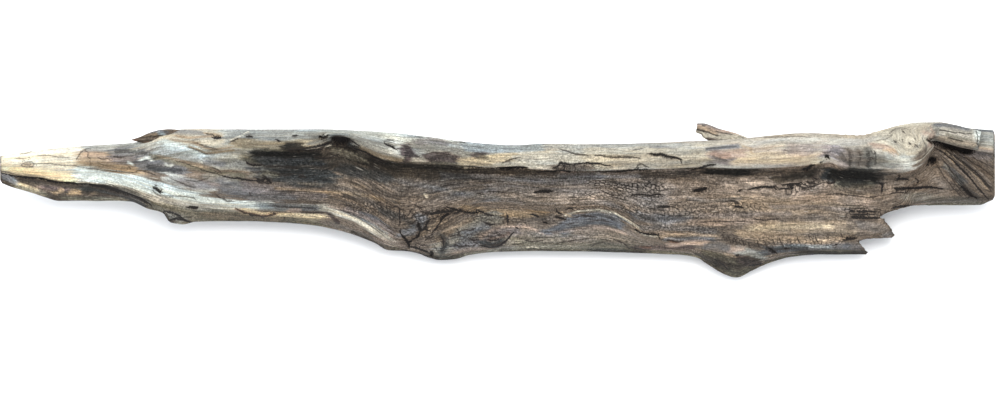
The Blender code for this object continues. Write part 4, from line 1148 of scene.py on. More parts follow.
def cracked(along, down, rows):
    """(split, presence, depth) of a table of cracks: the signed distance from the nearest one in
    half widths, how clearly it shows from 0 to 1, and how far the surface sinks, in mm."""
    split, nearest = np.full(along.shape, FAR), np.full(along.shape, 99.0)
    presence, depth = np.zeros(along.shape), np.zeros(along.shape)
    for narrow, sink, mark in rows:
        half_width = narrow * 1.1 + 0.1
        near = beside(along, down, mark, half_width + 5)
        offset, beyond = line_offset(along[near], down[near], mark, half_width)
        away = np.abs(offset) * half_width
        shown = ease(half_width + 3.4, half_width + 2.0, away) * ease(2.2, 0.4, beyond)
        shown = shown * (0.22 + 0.78 * min(1.0, sink))
        closer = away < nearest[near]
        nearest[near] = np.where(closer, away, nearest[near])
        split[near] = np.where(closer, np.clip(offset, -FAR, FAR), split[near])
        presence[near] = np.where(closer, shown, presence[near])
        if half_width >= 1.2:
            depth[near] = np.maximum(depth[near], sink * ease(1.5, 0.4, np.abs(offset)))
    return split, presence, depth


def surface_masks(points, turn):
    """Everything that both the relief and the paint read, as one dictionary of arrays."""
    along, down = points[..., 0], DATUM - points[..., 1]
    run, line = grain_lines(points, turn)
    face = ease(12.0, 11.2, turn) + ease(15.5, 15.97, turn)
    behind = ease(12.2, 12.8, turn) * ease(15.75, 15.4, turn)
    seen = ease(12.0, 11.5, turn) + ease(15.72, 15.92, turn)
    sway = 6.5 * noise(along / 55, line / 1.7, 3) + 2.6 * noise(along / 13, line / 2.6, 4)
    dip = 1.0 * noise(along / 22, line / 4, 5) + 0.5 * noise(along / 7, line / 2, 6)
    bent_along = along + 0.5 * noise(along / 6, down / 6, 7)
    bent_down = down + 0.6 * noise(along / 8, down / 8, 8)
    ticks = tuple((0.4, 0.1 * size, ((a, d), (a + 0.5 * size, d + size))) for a, d, size in TICKS)
    split, presence, depth = cracked(bent_along, bent_down, CRACKS + ticks)
    back_split, back_presence, back_depth = cracked(bent_along, bent_down, BACK_CRACKS)
    split = np.where(behind > 0, back_split, split)
    presence, depth = presence * seen + back_presence * behind, depth * seen + back_depth * behind
    lift = np.zeros(along.shape)
    for _, half_width, height, mark in FIBRES:
        lift = np.maximum(lift, height * ease(1.4, 0.3, reach_of(along, down, mark, half_width)))
    checked = np.zeros(along.shape)
    for strength, half_width, mark in CHECKED:
        reach = reach_of(along + 0.6 * sway, down + dip, mark, half_width)
        worn = ease(1.25, 0.6, reach + 0.25 * noise(along / 9, line / 4, 9))
        checked = np.maximum(checked, strength * worn)

    def nearest_mark(rows):
        """Distance from the nearest mark of a table, in half widths, on the side that is seen."""
        nearest = np.full(along.shape, FAR)
        for half_width, mark in rows:
            nearest = np.minimum(nearest, reach_of(bent_along, bent_down, mark, half_width))
        return np.where(seen > 0.5, nearest, FAR)

    hollow = ease(3.2, 3.8, turn) * ease(8.6, 7.8, turn) * ease(225, 300, along)
    under = ease(9.2, 9.8, turn) * ease(11.9, 11.2, turn)
    return {
        "along": along, "down": down, "turn": turn, "run": run, "line": line, "face": face,
        "seen": seen, "sway": sway, "dip": dip, "split": split, "presence": presence, "depth": depth,
        "lift": lift * seen, "checked": checked * face, "hollow": hollow, "under": under,
        # the darker crisp marks' distances cover stains and painted shade alike
        "back": 1 - face, "stains_and_shade": nearest_mark(STAINS_AND_SHADE), "paled": nearest_mark(PALE_SPOTS),
    }


def relief(m):
    """Height of the surface above the plain log: flutes, grain, cracks and pits."""
    run, line, turn = m["run"], m["line"], m["turn"]
    rough = 0.5 + 0.6 * m["hollow"] + 0.25 * m["under"] + 0.4 * m["back"]
    tight = ease(2.4, 3.0, turn) * ease(5.6, 5.0, turn)
    flutes = layered(run / 95, line / 8.5, 11)
    furrows = layered(run / 38, line / 3.4, 23)
    threads = layered(run / 17, line / 1.9, 37, 2)
    height = (0.9 * flutes + 0.6 * furrows + 0.3 * threads) * rough
    gullies = ease(0.22, 0.6, layered(run / 130, line / 5, 53))
    height = height - 2.0 * m["back"] * gullies
    away = np.hypot(m["along"] - KNOB_ALONG - 2, (m["down"] - KNOB_DOWN) * 1.1)
    knob = ease(27, 19, away) * ease(3.6, 3.0, turn)
    height = height + 0.4 * knob * np.sin(away * 1.0 + 1.5 * flutes)
    bands = ease(BANDS_FROM, BANDS_FROM + 6, m["along"]) * ease(BANDS_TO, BANDS_TO - 8, m["along"])
    bands = bands * ease(3.6, 3.0, turn)
    swirl = 2.0 * noise(m["along"] / 9, line / 7, 57)
    height = height + 0.45 * bands * np.sin(m["along"] * 0.85 + swirl)
    blocks = noise(run / 5.5, line / 3.2, 59) * 0.5 - 0.3
    height = height + m["checked"] * blocks
    return (height * (1 - 0.7 * tight) - m["depth"] + m["lift"]) * (1 - 0.85 * feet(m))


def feet(m):
    """1 on the worn flats underneath, where the wood is rubbed smooth."""
    worn = np.zeros_like(m["along"])
    for form in FEET:
        worn = np.maximum(worn, mound(m["along"], DATUM - m["down"], (*form[:4], 0)))
    return ease(0.25, 0.6, worn) * ease(11.0, 11.5, m["turn"])


# The wood's colour


def blend_in(colour, tone, share):
    """Moves colour towards a named tone by share at each point."""
    return colour + (np.array(TONES[tone]) - colour) * share[..., None]


def painted(m):
    """The wood's colour at each point, as screen colours, from broad zones down to fibres,
    with painted light and shade in some of its strokes and washes.
    """
    run, line, turn = m["run"], m["line"], m["turn"]
    colour = np.broadcast_to(np.array(TONES["timber"]), run.shape + (3,)).copy()
    ridge = ease(3.55, 3.25, turn) + ease(15.0, 15.7, turn)
    colour = blend_in(colour, "stone", np.clip(ridge, 0, 1))
    colour = blend_in(colour, "fawn", ease(8.2, 8.9, turn) * ease(10.2, 9.6, turn))
    colour = blend_in(colour, "olive", 0.8 * ease(9.6, 10.2, turn) * ease(11.8, 11.2, turn))
    back = ease(11.4, 12.2, turn) * ease(15.6, 15.0, turn)
    for tone, strength, low, high, wave_along, wave_across, seed in BACK_ZONES:
        zone = ease(low, high, layered(run / wave_along, line / wave_across, seed))
        colour = blend_in(colour, tone, back * strength * zone)
    streak = layered(run / 20, line / 1.8, 83, 3)
    for tone, strength, half_width, mark in PATCHES:
        give = min(1.0, half_width / 5.0)
        swayed, dipped = m["along"] + give * m["sway"], m["down"] + give * m["dip"]
        reach = reach_of(swayed, dipped, mark, half_width * 1.12)
        edge = min(0.55, 1.1 / half_width + 0.08)
        share = ease(1.0 + edge, 1.0 - edge, reach + 0.45 * streak) * strength * m["face"]
        colour = blend_in(colour, tone, share)
    for tone, strength, half_width, mark in BACK_PATCHES:
        reach = reach_of(m["along"] + m["sway"], m["down"] + m["dip"], mark, half_width)
        colour = blend_in(colour, tone, ease(1.4, 0.6, reach + 0.5 * streak) * strength * back)
    # washes: the wood's tone, and in places painted light and shade
    for factor, half_width, mark in WASHES:
        reach = reach_of(m["along"] + m["sway"], m["down"] + m["dip"], mark, half_width)
        share = ease(1.5, 0.5, reach + 0.25 * streak) * m["face"]
        colour = colour * (1 + (factor - 1) * share)[..., None]
    for tone, half_width, _, mark in FIBRES:
        share = ease(1.3, 0.5, reach_of(m["along"], m["down"], mark, half_width)) * m["seen"]
        colour = blend_in(colour, tone, 0.9 * share)
    warmth = layered(run / 34, line / 4.5, 85)
    colour = colour * (1 + np.array((0.045, 0.0, -0.065)) * warmth[..., None])
    light = 1 + 0.13 * layered(run / 60, line / 2.6, 89) + 0.08 * noise(run / 12, line / 1.5, 97)
    light = light + 0.06 * noise(m["along"] / 2.4, m["down"] / 2.4, 99)
    return np.clip(colour * light[..., None], 0.0, 1.15)


def linear(colour):
    """Screen colours turned into the share of light sent back, under the studio's lights."""
    bright = ((colour + 0.055) / 1.055) ** 2.4
    return SHARE_OF_WHITE * np.where(colour <= 0.04045, colour / 12.92, bright)


# Meshes


def laid_down(points):
    """Face-frame millimetres to row-frame metres, with the open face laid back by LEAN."""
    along, up, out = points[..., 0], points[..., 1], points[..., 2]
    x = along + FACE_ORIGIN[0]
    y = up * math.sin(LEAN) - out * math.cos(LEAN) + FACE_ORIGIN[1]
    z = up * math.cos(LEAN) + out * math.sin(LEAN) + FACE_ORIGIN[2]
    return np.stack([x, y, z], axis=-1) * MM


def stood_up(places):
    """Row-frame metres back to face-frame millimetres."""
    x, y, z = (places / MM - np.array(FACE_ORIGIN)).T
    up = y * math.sin(LEAN) + z * math.cos(LEAN)
    out = z * math.sin(LEAN) - y * math.cos(LEAN)
    return np.stack([x, up, out], axis=-1)


def ring_faces(count, ring):
    """Quads between each ring of points and the next, and the two end rings as flat caps."""
    i, j = np.meshgrid(np.arange(count - 1), np.arange(ring), indexing="ij")
    k = (j + 1) % ring
    quads = np.stack([i * ring + j, i * ring + k, (i + 1) * ring + k, (i + 1) * ring + j], axis=-1)
    caps = [list(range(ring))[::-1], list(range((count - 1) * ring, count * ring))]
    return quads.reshape(-1, 4).tolist() + caps


def mesh_piece(name, rows):
    """A closed surface from rings of points in the face frame, its faces turned outwards."""
    count, ring = rows.shape[:2]
    mesh = bpy.data.meshes.new(name)
    mesh.from_pydata(laid_down(rows.reshape(-1, 3)).tolist(), [], ring_faces(count, ring))
    middle = rows.mean(axis=1, keepdims=True)
    along = np.gradient(rows, axis=0)
    across = np.roll(rows, -1, axis=1) - rows
    facing = (np.cross(across, along) * (rows - middle)).sum()
    if facing < 0:
        mesh.flip_normals()
    mesh.update()
    made = bpy.data.objects.new(name, mesh)
    bpy.context.scene.collection.objects.link(made)
    return made


def closed_ends(points):
    """Adds rings that close both ends: each the end loop, smoothed and drawn to its middle."""

    def cap(loop, sign):
        """Rings that close one end, outwards along the wood by sign."""
        rings, smooth = [], loop
        for inset, step in END_RINGS:
            for _ in range(END_SMOOTHINGS):
                smooth = (np.roll(smooth, 1, axis=0) + smooth * 2 + np.roll(smooth, -1, axis=0)) / 4
            ring = smooth + (smooth.mean(axis=0) - smooth) * inset
            rings.append(ring + np.array([sign * step, 0.0, 0.0]))
        return rings

    return np.concatenate([np.array(cap(points[0], -1)[::-1]), points, np.array(cap(points[-1], 1))])


def give_looks(piece, looks, material):
    """Puts the paint, the grain and the cracks on the mesh, and the finish on the piece.

    looks holds flat arrays: colour, run, line, wear, split, presence and checked.
    """
    mesh, count = piece.data, len(piece.data.vertices)
    tint = np.concatenate([linear(looks["colour"]), np.ones((count, 1))], axis=1)
    mesh.attributes.new("tint", "FLOAT_COLOR", "POINT").data.foreach_set("color", tint.ravel())
    vectors = (
        ("grain", ("run", "line", "wear"), 0.0),
        ("marks", ("split", "presence", "checked"), 0.0),
        # distances from the darker crisp marks, stains and painted shade alike, and from the pale
        # spots
        ("edged", ("stains_and_shade", "paled", "unset"), FAR),
    )
    for name, parts, unset in vectors:
        vector = np.stack([np.broadcast_to(looks.get(part, unset), count) for part in parts], axis=-1)
        mesh.attributes.new(name, "FLOAT_VECTOR", "POINT").data.foreach_set("vector", vector.ravel())
    mesh.materials.clear()
    mesh.materials.append(material)
    mesh.shade_smooth()
    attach(piece, "root")


def break_cutter():
    """The waste beyond the break: the outline carried through the wood, with fibrous walls."""
    outline = np.array(BREAK_OUTLINE + BREAK_OUTLINE[:1], float)
    steps = np.hypot(*np.diff(outline, axis=0).T)
    places = np.concatenate([[0], np.cumsum(steps)])
    samples = np.arange(0, places[-1] - 0.5, 1.5)
    line = np.stack([np.interp(samples, places, outline[:, k]) for k in (0, 1)], axis=-1)
    levels = np.concatenate([[-120, -80], np.arange(*BREAK_LEVELS), [50, 80]])
    along = np.repeat(line[None, :, 0], len(levels), axis=0)
    up = np.repeat(line[None, :, 1], len(levels), axis=0)
    out = np.repeat(levels[:, None], len(line), axis=1)
    inside = ease(-66, -58, out) * ease(32, 24, out) * ease(-80, -62, up)
    ragged = 2.6 * layered(up / 3.4, out / 3.0, 101, 3) + 1.2 * noise(up / 1.6, out / 1.5, 103)
    along = along + inside * ragged
    up = up + inside * 0.5 * noise(along / 3, out / 2, 107)
    return mesh_piece("break_waste", np.stack([along, up, out], axis=-1))


def cut_away(body, waste):
    """Takes the waste out of the body for good."""
    step = body.modifiers.new("break", "BOOLEAN")
    step.operation, step.object, step.solver = "DIFFERENCE", waste, "MANIFOLD"
    bpy.context.view_layer.objects.active = body
    bpy.ops.object.modifier_apply(modifier=step.name)
    bpy.data.objects.remove(waste, do_unlink=True)


def nearest_samples(places, grid):
    """For each place, the grid point nearest to it among the stations beside it, and how far."""
    stations, ring = grid.shape[:2]
    middle = grid[..., 0].mean(axis=1)
    guess = np.clip(np.searchsorted(middle, places[:, 0]), 0, stations - 1)
    best, found = np.full(len(places), 1e9), np.zeros(len(places), int)
    for shift in (-1, 0, 1):
        row = np.clip(guess + shift, 0, stations - 1)
        for start in range(0, len(places), BATCH):
            part = slice(start, start + BATCH)
            gap = ((grid[row[part]] - places[part, None]) ** 2).sum(axis=2)
            pick = gap.argmin(axis=1)
            near = gap[np.arange(len(pick)), pick]
            closer = near < best[part]
            best[part] = np.where(closer, near, best[part])
            found[part] = np.where(closer, row[part] * ring + pick, found[part])
    return found, np.sqrt(best)


def end_grain(places, middle, seed):
    """(colour, run, line) of a broken end: rings round its middle, darkened along drying splits."""
    up, out = places[:, 1] - middle[1], places[:, 2] - middle[2]
    radius, angle = np.hypot(up, out), np.arctan2(out, up)
    radius = radius + 1.6 * noise(3 + 2.2 * np.cos(angle), 3 + 2.2 * np.sin(angle), seed)
    ring = 0.5 + 0.5 * np.sin(radius * 2.4 + 1.5 * noise(radius / 3, angle * 2 + 9, seed + 1))
    split = ease(0.42, 0.6, noise(9 + 4.5 * np.cos(angle), 9 + 4.5 * np.sin(angle), seed + 2))
    dark, pale = np.array(TONES["brown"]), np.array(TONES["tan"])
    colour = dark + (pale - dark) * (0.25 + 0.6 * ring)[:, None]
    return colour * (1 - 0.4 * split)[:, None], angle * 6.0, radius + 20.0


def build_log(material):
    """The whole log: the plain surface, its relief, its closed ends and the break cut away."""
    points, turn = log_surface()
    masks = surface_masks(points, turn)
    colour = painted(masks)
    worked = points + outward(points) * relief(masks)[..., None]
    worked[0, :, 0], worked[-1, :, 0] = END_SETBACK, LENGTH - END_SETBACK
    worked[..., 0] = np.clip(worked[..., 0], 0.0, LENGTH)
    body = mesh_piece("driftwood_log", closed_ends(worked))
    cut_away(body, break_cutter())
    co = np.empty(len(body.data.vertices) * 3)
    body.data.vertices.foreach_get("co", co)
    co[2::3] = np.maximum(co[2::3], 0.0)
    body.data.vertices.foreach_set("co", co)
    body.data.update()
    places = stood_up(co.reshape(-1, 3))
    found, away = nearest_samples(places, worked)
    flat = {name: value.reshape(-1)[found] for name, value in masks.items()}
    colour = colour.reshape(-1, 3)[found]
    torn = ease(0.6, 2.0, away)
    fibre = 0.5 + 0.5 * layered(places[:, 1] / 1.6, places[:, 2] / 1.4, 109)
    bare = blend_in(np.array(TONES["umber"]) + np.zeros_like(places), "tan", fibre)
    flat["colour"] = colour + (bare - colour) * torn[:, None]
    lip = ease(8.3, 8.9, flat["turn"]) * ease(10.6, 9.9, flat["turn"])
    worn = np.maximum(np.maximum(0.88 * flat["hollow"], 0.88 * flat["under"]), lip)
    smooth = np.maximum(ease(135, 75, flat["along"]), 0.5 * ease(700, 760, flat["along"]))
    calm = 1 - 0.3 * ease(700, 780, flat["along"]) * flat["hollow"]
    broken = ease(370, 400, flat["along"]) * ease(640, 600, flat["along"])
    wear = 0.25 - 0.25 * smooth + 0.25 * broken + 0.8 * worn * calm + 0.5 * flat["back"]
    flat["wear"] = np.clip(wear, 0, 1)
    flat["run"] = flat["run"] * (1 - torn) + torn * places[:, 0]
    flat["line"] = flat["line"] * (1 - torn) + torn * (places[:, 1] + places[:, 2])
    flat["presence"] = flat["presence"] * (1 - torn)
    for loop, seed in ((worked[0], 113), (worked[-1], 117)):
        beyond = np.abs(places[:, 0] - loop[:, 0].mean())
        side = (places[:, 0] - LENGTH / 2) * (loop[0, 0] - LENGTH / 2) > 0
        outer = np.abs(places[:, 0] - LENGTH / 2) > abs(loop[0, 0] - LENGTH / 2)
        cap = ease(0.5, 1.1, beyond) * side * outer
        tone, ring_run, ring_line = end_grain(places, loop.mean(axis=0), seed)
        flat["colour"] = flat["colour"] + (tone - flat["colour"]) * cap[:, None]
        for name, value in (("run", ring_run), ("line", ring_line), ("presence", 0.0), ("wear", 0.6)):
            flat[name] = flat[name] * (1 - cap) + value * cap
        for name in ("stains_and_shade", "paled"):
            flat[name] = np.maximum(flat[name], FAR * cap)
    give_looks(body, flat, material)
    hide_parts("driftwood")


def stroked(colour, along, down, patches, streak, shown):
    """Lays a limb's painted strokes over its colour, each with an edge broken by the streaks."""
    for tone, strength, half_width, mark in patches:
        reach = reach_of(along, down, mark, half_width * 1.15)
        colour = blend_in(colour, tone, ease(1.5, 0.5, reach + 0.4 * streak) * strength * shown)
    return colour


def build_limb(name, path, sides, stretch, base, patches, cracks, seed, material):
    """A broken limb: a fluted tube along a path, its ends closed and frayed."""
    table = np.array(path, float)
    place = np.concatenate([[0], np.cumsum(np.linalg.norm(np.diff(table[:, :3], axis=0), axis=1))])
    samples = np.linspace(0, place[-1], max(12, int(place[-1] / stretch)))
    smooth = np.column_stack([place, table])
    centre = np.stack([smooth_along(smooth, k, samples) for k in (1, 2, 3)], axis=-1)
    radius = smooth_along(smooth, 4, samples)
    heading = np.gradient(centre, axis=0)
    heading /= np.linalg.norm(heading, axis=1, keepdims=True)
    across = np.cross(heading, (0.0, 0.0, 1.0))
    across /= np.linalg.norm(across, axis=1, keepdims=True)
    over = np.cross(across, heading)
    around = np.linspace(0, 2 * math.pi, sides, endpoint=False)[None, :]
    run = np.repeat(samples[:, None], sides, axis=1)
    circle_x, circle_y = 3 * np.cos(around) + 0 * run, 3 * np.sin(around) + 0 * run
    bumps = 0.7 * layered(run / 30 + circle_x, circle_y, seed)
    bumps = bumps + 0.3 * noise(run / 9, around * 5, seed + 1)
    thick = radius[:, None] * (1 + 0.06 * bumps)
    rings = centre[:, None] + thick[..., None] * (
        np.cos(around)[..., None] * across[:, None] + np.sin(around)[..., None] * over[:, None]
    )
    fray = 1.6 * layered(circle_x * 2, circle_y * 2, seed + 2)
    rings[-1] += heading[-1] * fray[-1][:, None]
    rings[-2] += heading[-1] * fray[-1][:, None] * 0.5

    def cap(ring, way):
        """Rings that close one end, drawn to its middle and out along way."""
        middle = ring.mean(axis=0)
        return [ring + (middle - ring) * inset + way * step for inset, step in LIMB_END_RINGS]

    first, last = cap(rings[0], -heading[0]), cap(rings[-1], heading[-1])
    rows = np.concatenate([np.array(first[::-1]), rings, np.array(last)])
    piece = mesh_piece(name, rows)
    along, down = rows[..., 0], DATUM - rows[..., 1]
    pad = len(LIMB_END_RINGS)
    line = np.repeat((around * 8.0 + 0 * run)[:1], len(rows), axis=0)
    steps = np.concatenate([np.full(pad, 0.0), samples, np.full(pad, samples[-1])])
    grain_run = np.repeat(steps[:, None], sides, axis=1)
    colour = np.broadcast_to(np.array(TONES[base]), rows.shape).copy()
    streak = layered(grain_run / 14, line / 1.6, seed + 5)
    behind = np.repeat(ease(0.1, -0.7, np.sin(around)), len(rows), axis=0)
    colour = blend_in(colour, "stone", 0.6 * behind)
    colour = stroked(colour, along, down, patches, streak, 1 - behind)
    colour = colour * (1 + 0.14 * streak + 0.06 * noise(grain_run / 4, line, seed + 7))[..., None]
    # the limb's cracks painted dark, as shade in their depth
    for half_width, mark in cracks:
        dark = 0.85 * ease(1.15, 0.5, reach_of(along, down, mark, half_width))
        colour = blend_in(colour, "soot", dark)
    inner = np.zeros(len(rows))
    inner[: pad - 1], inner[-pad + 1:] = 1.0, 1.0
    colour = blend_in(colour, "brown", 0.5 * np.repeat(inner[:, None], sides, axis=1))
    colour = np.clip(colour, 0, 1).reshape(-1, 3)
    looks = {"colour": colour, "run": grain_run.ravel(), "line": line.ravel(), "wear": 0.4}
    give_looks(piece, looks, material)


def build_blade(name, path, base, patches, seed, material):
    """A flat torn strip: oval rings along a path of (along, up, out, half width, half thickness)."""
    table = np.array(path, float)
    place = np.concatenate([[0], np.cumsum(np.hypot(*np.diff(table[:, :2], axis=0).T))])
    samples = np.linspace(0, place[-1], max(10, int(place[-1] / 0.9)))
    smooth = np.column_stack([place, table])
    values = np.stack([smooth_along(smooth, k, samples) for k in range(1, 6)], axis=-1)
    centre, half_width, half_thick = values[:, :3], values[:, 3], values[:, 4]
    heading = np.gradient(centre[:, :2], axis=0)
    heading /= np.linalg.norm(heading, axis=1, keepdims=True)
    side = np.stack([-heading[:, 1], heading[:, 0], 0 * samples], axis=-1)
    around = np.linspace(0, 2 * math.pi, BLADE_SIDES, endpoint=False)[None, :]
    run = np.repeat(samples[:, None], BLADE_SIDES, axis=1)
    ragged = 1 + 0.16 * layered(run / 5, 3 * np.cos(around) + 3 * np.sin(around) + 0 * run, seed)
    wide = half_width[:, None] * np.cos(around) * ragged
    rings = centre[:, None] + wide[..., None] * side[:, None]
    rings[..., 2] += half_thick[:, None] * np.sin(around) * ragged
    rings[..., 2] += 0.3 * noise(run / 4, around * 2, seed + 1)
    piece = mesh_piece(name, rings)
    along, down = rings[..., 0], DATUM - rings[..., 1]
    line = np.cos(around) * half_width[:, None] + 0 * run + 40
    streak = layered(run / 10, line / 1.3, seed + 3)
    colour = np.broadcast_to(np.array(TONES[base]), rings.shape).copy()
    colour = stroked(colour, along, down, patches, streak, 1.0)
    colour = np.clip(colour * (1 + 0.18 * streak)[..., None], 0, 1).reshape(-1, 3)
    looks = {"colour": colour, "run": run.ravel(), "line": line.ravel(), "wear": 0.5}
    give_looks(piece, looks, material)


# The finish


def maths(tree, operation, first, second):
    """A sum, product or the like of two sockets or numbers."""
    made = tree.nodes.new("ShaderNodeMath")
    made.operation = operation
    for socket, value in zip(made.inputs, (first, second)):
        if isinstance(value, bpy.types.NodeSocket):
            tree.links.new(value, socket)
        else:
            socket.default_value = value
    return made.outputs[0]


def attribute(tree, name, output):
    """One of the mesh's own attributes."""
    made = tree.nodes.new("ShaderNodeAttribute")
    made.attribute_name = name
    return made.outputs[output]


def apart(tree, vector):
    """The three numbers of a vector."""
    made = tree.nodes.new("ShaderNodeSeparateXYZ")
    tree.links.new(vector, made.inputs[0])
    return made.outputs


def stretched(tree, grain, along, across):
    """The grain's place scaled by waves to the millimetre along and across it."""
    made = tree.nodes.new("ShaderNodeMapping")
    tree.links.new(grain, made.inputs["Vector"])
    made.inputs["Scale"].default_value = (along, across, 0.0)
    return made.outputs["Vector"]


def streaks(tree, grain, along, across, detail, roughness):
    """Noise drawn out along the grain."""
    made = tree.nodes.new("ShaderNodeTexNoise")
    tree.links.new(stretched(tree, grain, along, across), made.inputs["Vector"])
    made.inputs["Scale"].default_value = 1.0
    made.inputs["Detail"].default_value = detail
    made.inputs["Roughness"].default_value = roughness
    return made.outputs["Fac"]


def spread(tree, value, low, high, to_low, to_high):
    """Maps low..high to to_low..to_high, held at both ends."""
    made = tree.nodes.new("ShaderNodeMapRange")
    tree.links.new(value, made.inputs["Value"])
    limits = {"From Min": low, "From Max": high, "To Min": to_low, "To Max": to_high}
    for name, number in limits.items():
        made.inputs[name].default_value = number
    return made.outputs["Result"]


def covered(tree, colour, share, tone):
    """Lays a flat tone over a colour by share."""
    made = tree.nodes.new("ShaderNodeMix")
    made.data_type = "RGBA"
    tree.links.new(share, made.inputs[0])
    tree.links.new(colour, made.inputs[6])
    made.inputs[7].default_value = (*tone, 1.0)
    return made.outputs[2]


def brightened(tree, colour, factor):
    """Multiplies a colour by a number."""
    made = tree.nodes.new("ShaderNodeVectorMath")
    made.operation = "SCALE"
    tree.links.new(colour, made.inputs[0])
    tree.links.new(factor, made.inputs["Scale"])
    return made.outputs[0]


def wood_finish():
    """Weathered wood: the painted tone, broken up by grain, drying checks, cracks and flecks,
    with painted shade in the cracks, the clefts and the gaps between scales, and painted light on
    the scales.
    """
    material = bpy.data.materials.new("weathered_wood")
    material.use_nodes = True
    tree = material.node_tree
    shader = tree.nodes["Principled BSDF"]
    tint = attribute(tree, "tint", "Color")
    grain = attribute(tree, "grain", "Vector")
    wear = apart(tree, grain)[2]
    split, presence, checked = apart(tree, attribute(tree, "marks", "Vector"))

    def times(first, second):
        """The product of two sockets or numbers."""
        return maths(tree, "MULTIPLY", first, second)

    def plus(first, second):
        """The sum of two sockets or numbers."""
        return maths(tree, "ADD", first, second)

    def swung(value, gain):
        """A noise moved to swing about nothing, times gain."""
        return times(maths(tree, "SUBTRACT", value, 0.5), gain)

    # Light and dark from the grain: broad bands, threads, hairs, a mottle and a fine grit.
    bands = streaks(tree, grain, 0.022, 0.30, 4.0, 0.65)
    threads = streaks(tree, grain, 0.05, 0.85, 5.0, 0.7)
    hairs = streaks(tree, grain, 0.13, 1.7, 3.0, 0.65)
    mottle = streaks(tree, grain, 0.36, 0.55, 4.0, 0.75)
    grit = tree.nodes.new("ShaderNodeTexNoise")
    tree.links.new(tree.nodes.new("ShaderNodeTexCoord").outputs["Object"], grit.inputs["Vector"])
    grit.inputs["Scale"].default_value, grit.inputs["Detail"].default_value = 620.0, 2.0
    grit = grit.outputs["Fac"]
    light = spread(tree, bands, 0.3, 0.7, 0.84, 1.16)
    for noise_out, least, most in (
        (threads, 0.68, 1.30), (hairs, 0.76, 1.24), (mottle, 0.70, 1.28), (grit, 0.74, 1.24)
    ):
        light = times(light, spread(tree, noise_out, 0.32, 0.68, least, most))
    light = maths(tree, "POWER", light, spread(tree, wear, 0.0, 1.0, 0.6, 2.0))

    # Small scales that drying has split: each painted lighter in its middle, as light on its raised
    # top, and darker towards a near-black gap round it, as painted shade.
    cells = tree.nodes.new("ShaderNodeTexVoronoi")
    cells.voronoi_dimensions, cells.feature = "2D", "DISTANCE_TO_EDGE"
    tree.links.new(stretched(tree, grain, 0.22, 0.48), cells.inputs["Vector"])
    cells.inputs["Scale"].default_value, cells.inputs["Randomness"].default_value = 1.0, 1.0
    inside = plus(cells.outputs["Distance"], swung(grit, 0.25))
    scales = spread(tree, inside, 0.0, 0.34, -0.66, 0.55)
    scales = times(scales, spread(tree, threads, 0.36, 0.58, 1.15, 0.45))
    light = times(light, plus(1.0, times(scales, checked)))
    gaps = times(spread(tree, inside, 0.0, 0.10, 1.0, 0.0), checked)

    # Stains and painted shade, and pale spots, each with a crisp and slightly broken edge.
    stains_and_shade, paled, _ = apart(tree, attribute(tree, "edged", "Vector"))
    ragged = plus(swung(mottle, 1.6), swung(grit, 0.8))
    for reach, gain in ((stains_and_shade, -0.48), (paled, 0.38)):
        light = times(light, plus(1.0, spread(tree, plus(reach, ragged), 0.85, 1.1, gain, 0.0)))

    # Cracks: painted near-black shade, for the unlit depth of each crack, where the signed distance
    # from a crack's line is small, with a broken edge, and a softer dark fringe beside it.
    ragged = plus(swung(hairs, 1.2), swung(grit, 2.4))
    across = plus(maths(tree, "ABSOLUTE", split, 0.0), ragged)
    cracks = times(spread(tree, across, 0.8, 1.25, 1.0, 0.0), presence)
    fringe = times(spread(tree, across, 1.0, 3.4, 0.38, 0.0), presence)

    # Dark clefts, painted near-black as shade in their depth, short flecks and pale fibres along the
    # grain, most of them where wood is worn.
    clefts = spread(tree, streaks(tree, grain, 0.03, 0.55, 3.0, 0.6), 0.59, 0.66, 0.0, 1.0)
    clefts = times(clefts, wear)
    flecks = spread(tree, streaks(tree, grain, 0.17, 0.9, 2.0, 0.5), 0.63, 0.70, 0.0, 0.65)
    pale = spread(tree, streaks(tree, grain, 0.11, 1.3, 1.0, 0.5), 0.66, 0.76, 0.0, 0.45)

    lit = brightened(tree, tint, light)
    lit = covered(tree, lit, pale, (0.36, 0.33, 0.28))
    lit = covered(tree, lit, flecks, (0.040, 0.032, 0.025))
    lit = covered(tree, lit, times(clefts, 0.75), (0.022, 0.018, 0.014))
    lit = covered(tree, lit, fringe, (0.070, 0.048, 0.034))
    # painted shade: near-black in the cracks and in the gaps between the scales
    dark = maths(tree, "MAXIMUM", times(gaps, 0.7), times(cracks, 0.97))
    lit = covered(tree, lit, dark, (0.010, 0.008, 0.007))
    tree.links.new(lit, shader.inputs["Base Color"])
    tree.links.new(spread(tree, mottle, 0.3, 0.7, 0.95, 0.74), shader.inputs["Roughness"])
    shader.inputs["Specular IOR Level"].default_value = 0.25

    sunk = plus(times(dark, 0.9), times(clefts, 0.5))
    raised = plus(plus(times(threads, 0.8), times(hairs, 0.6)), times(mottle, 0.6))
    bump = tree.nodes.new("ShaderNodeBump")
    tree.links.new(maths(tree, "SUBTRACT", raised, sunk), bump.inputs["Height"])
    bump.inputs["Strength"].default_value = 1.0
    bump.inputs["Distance"].default_value = 0.002
    tree.links.new(bump.outputs["Normal"], shader.inputs["Normal"])
    return material


# The studio


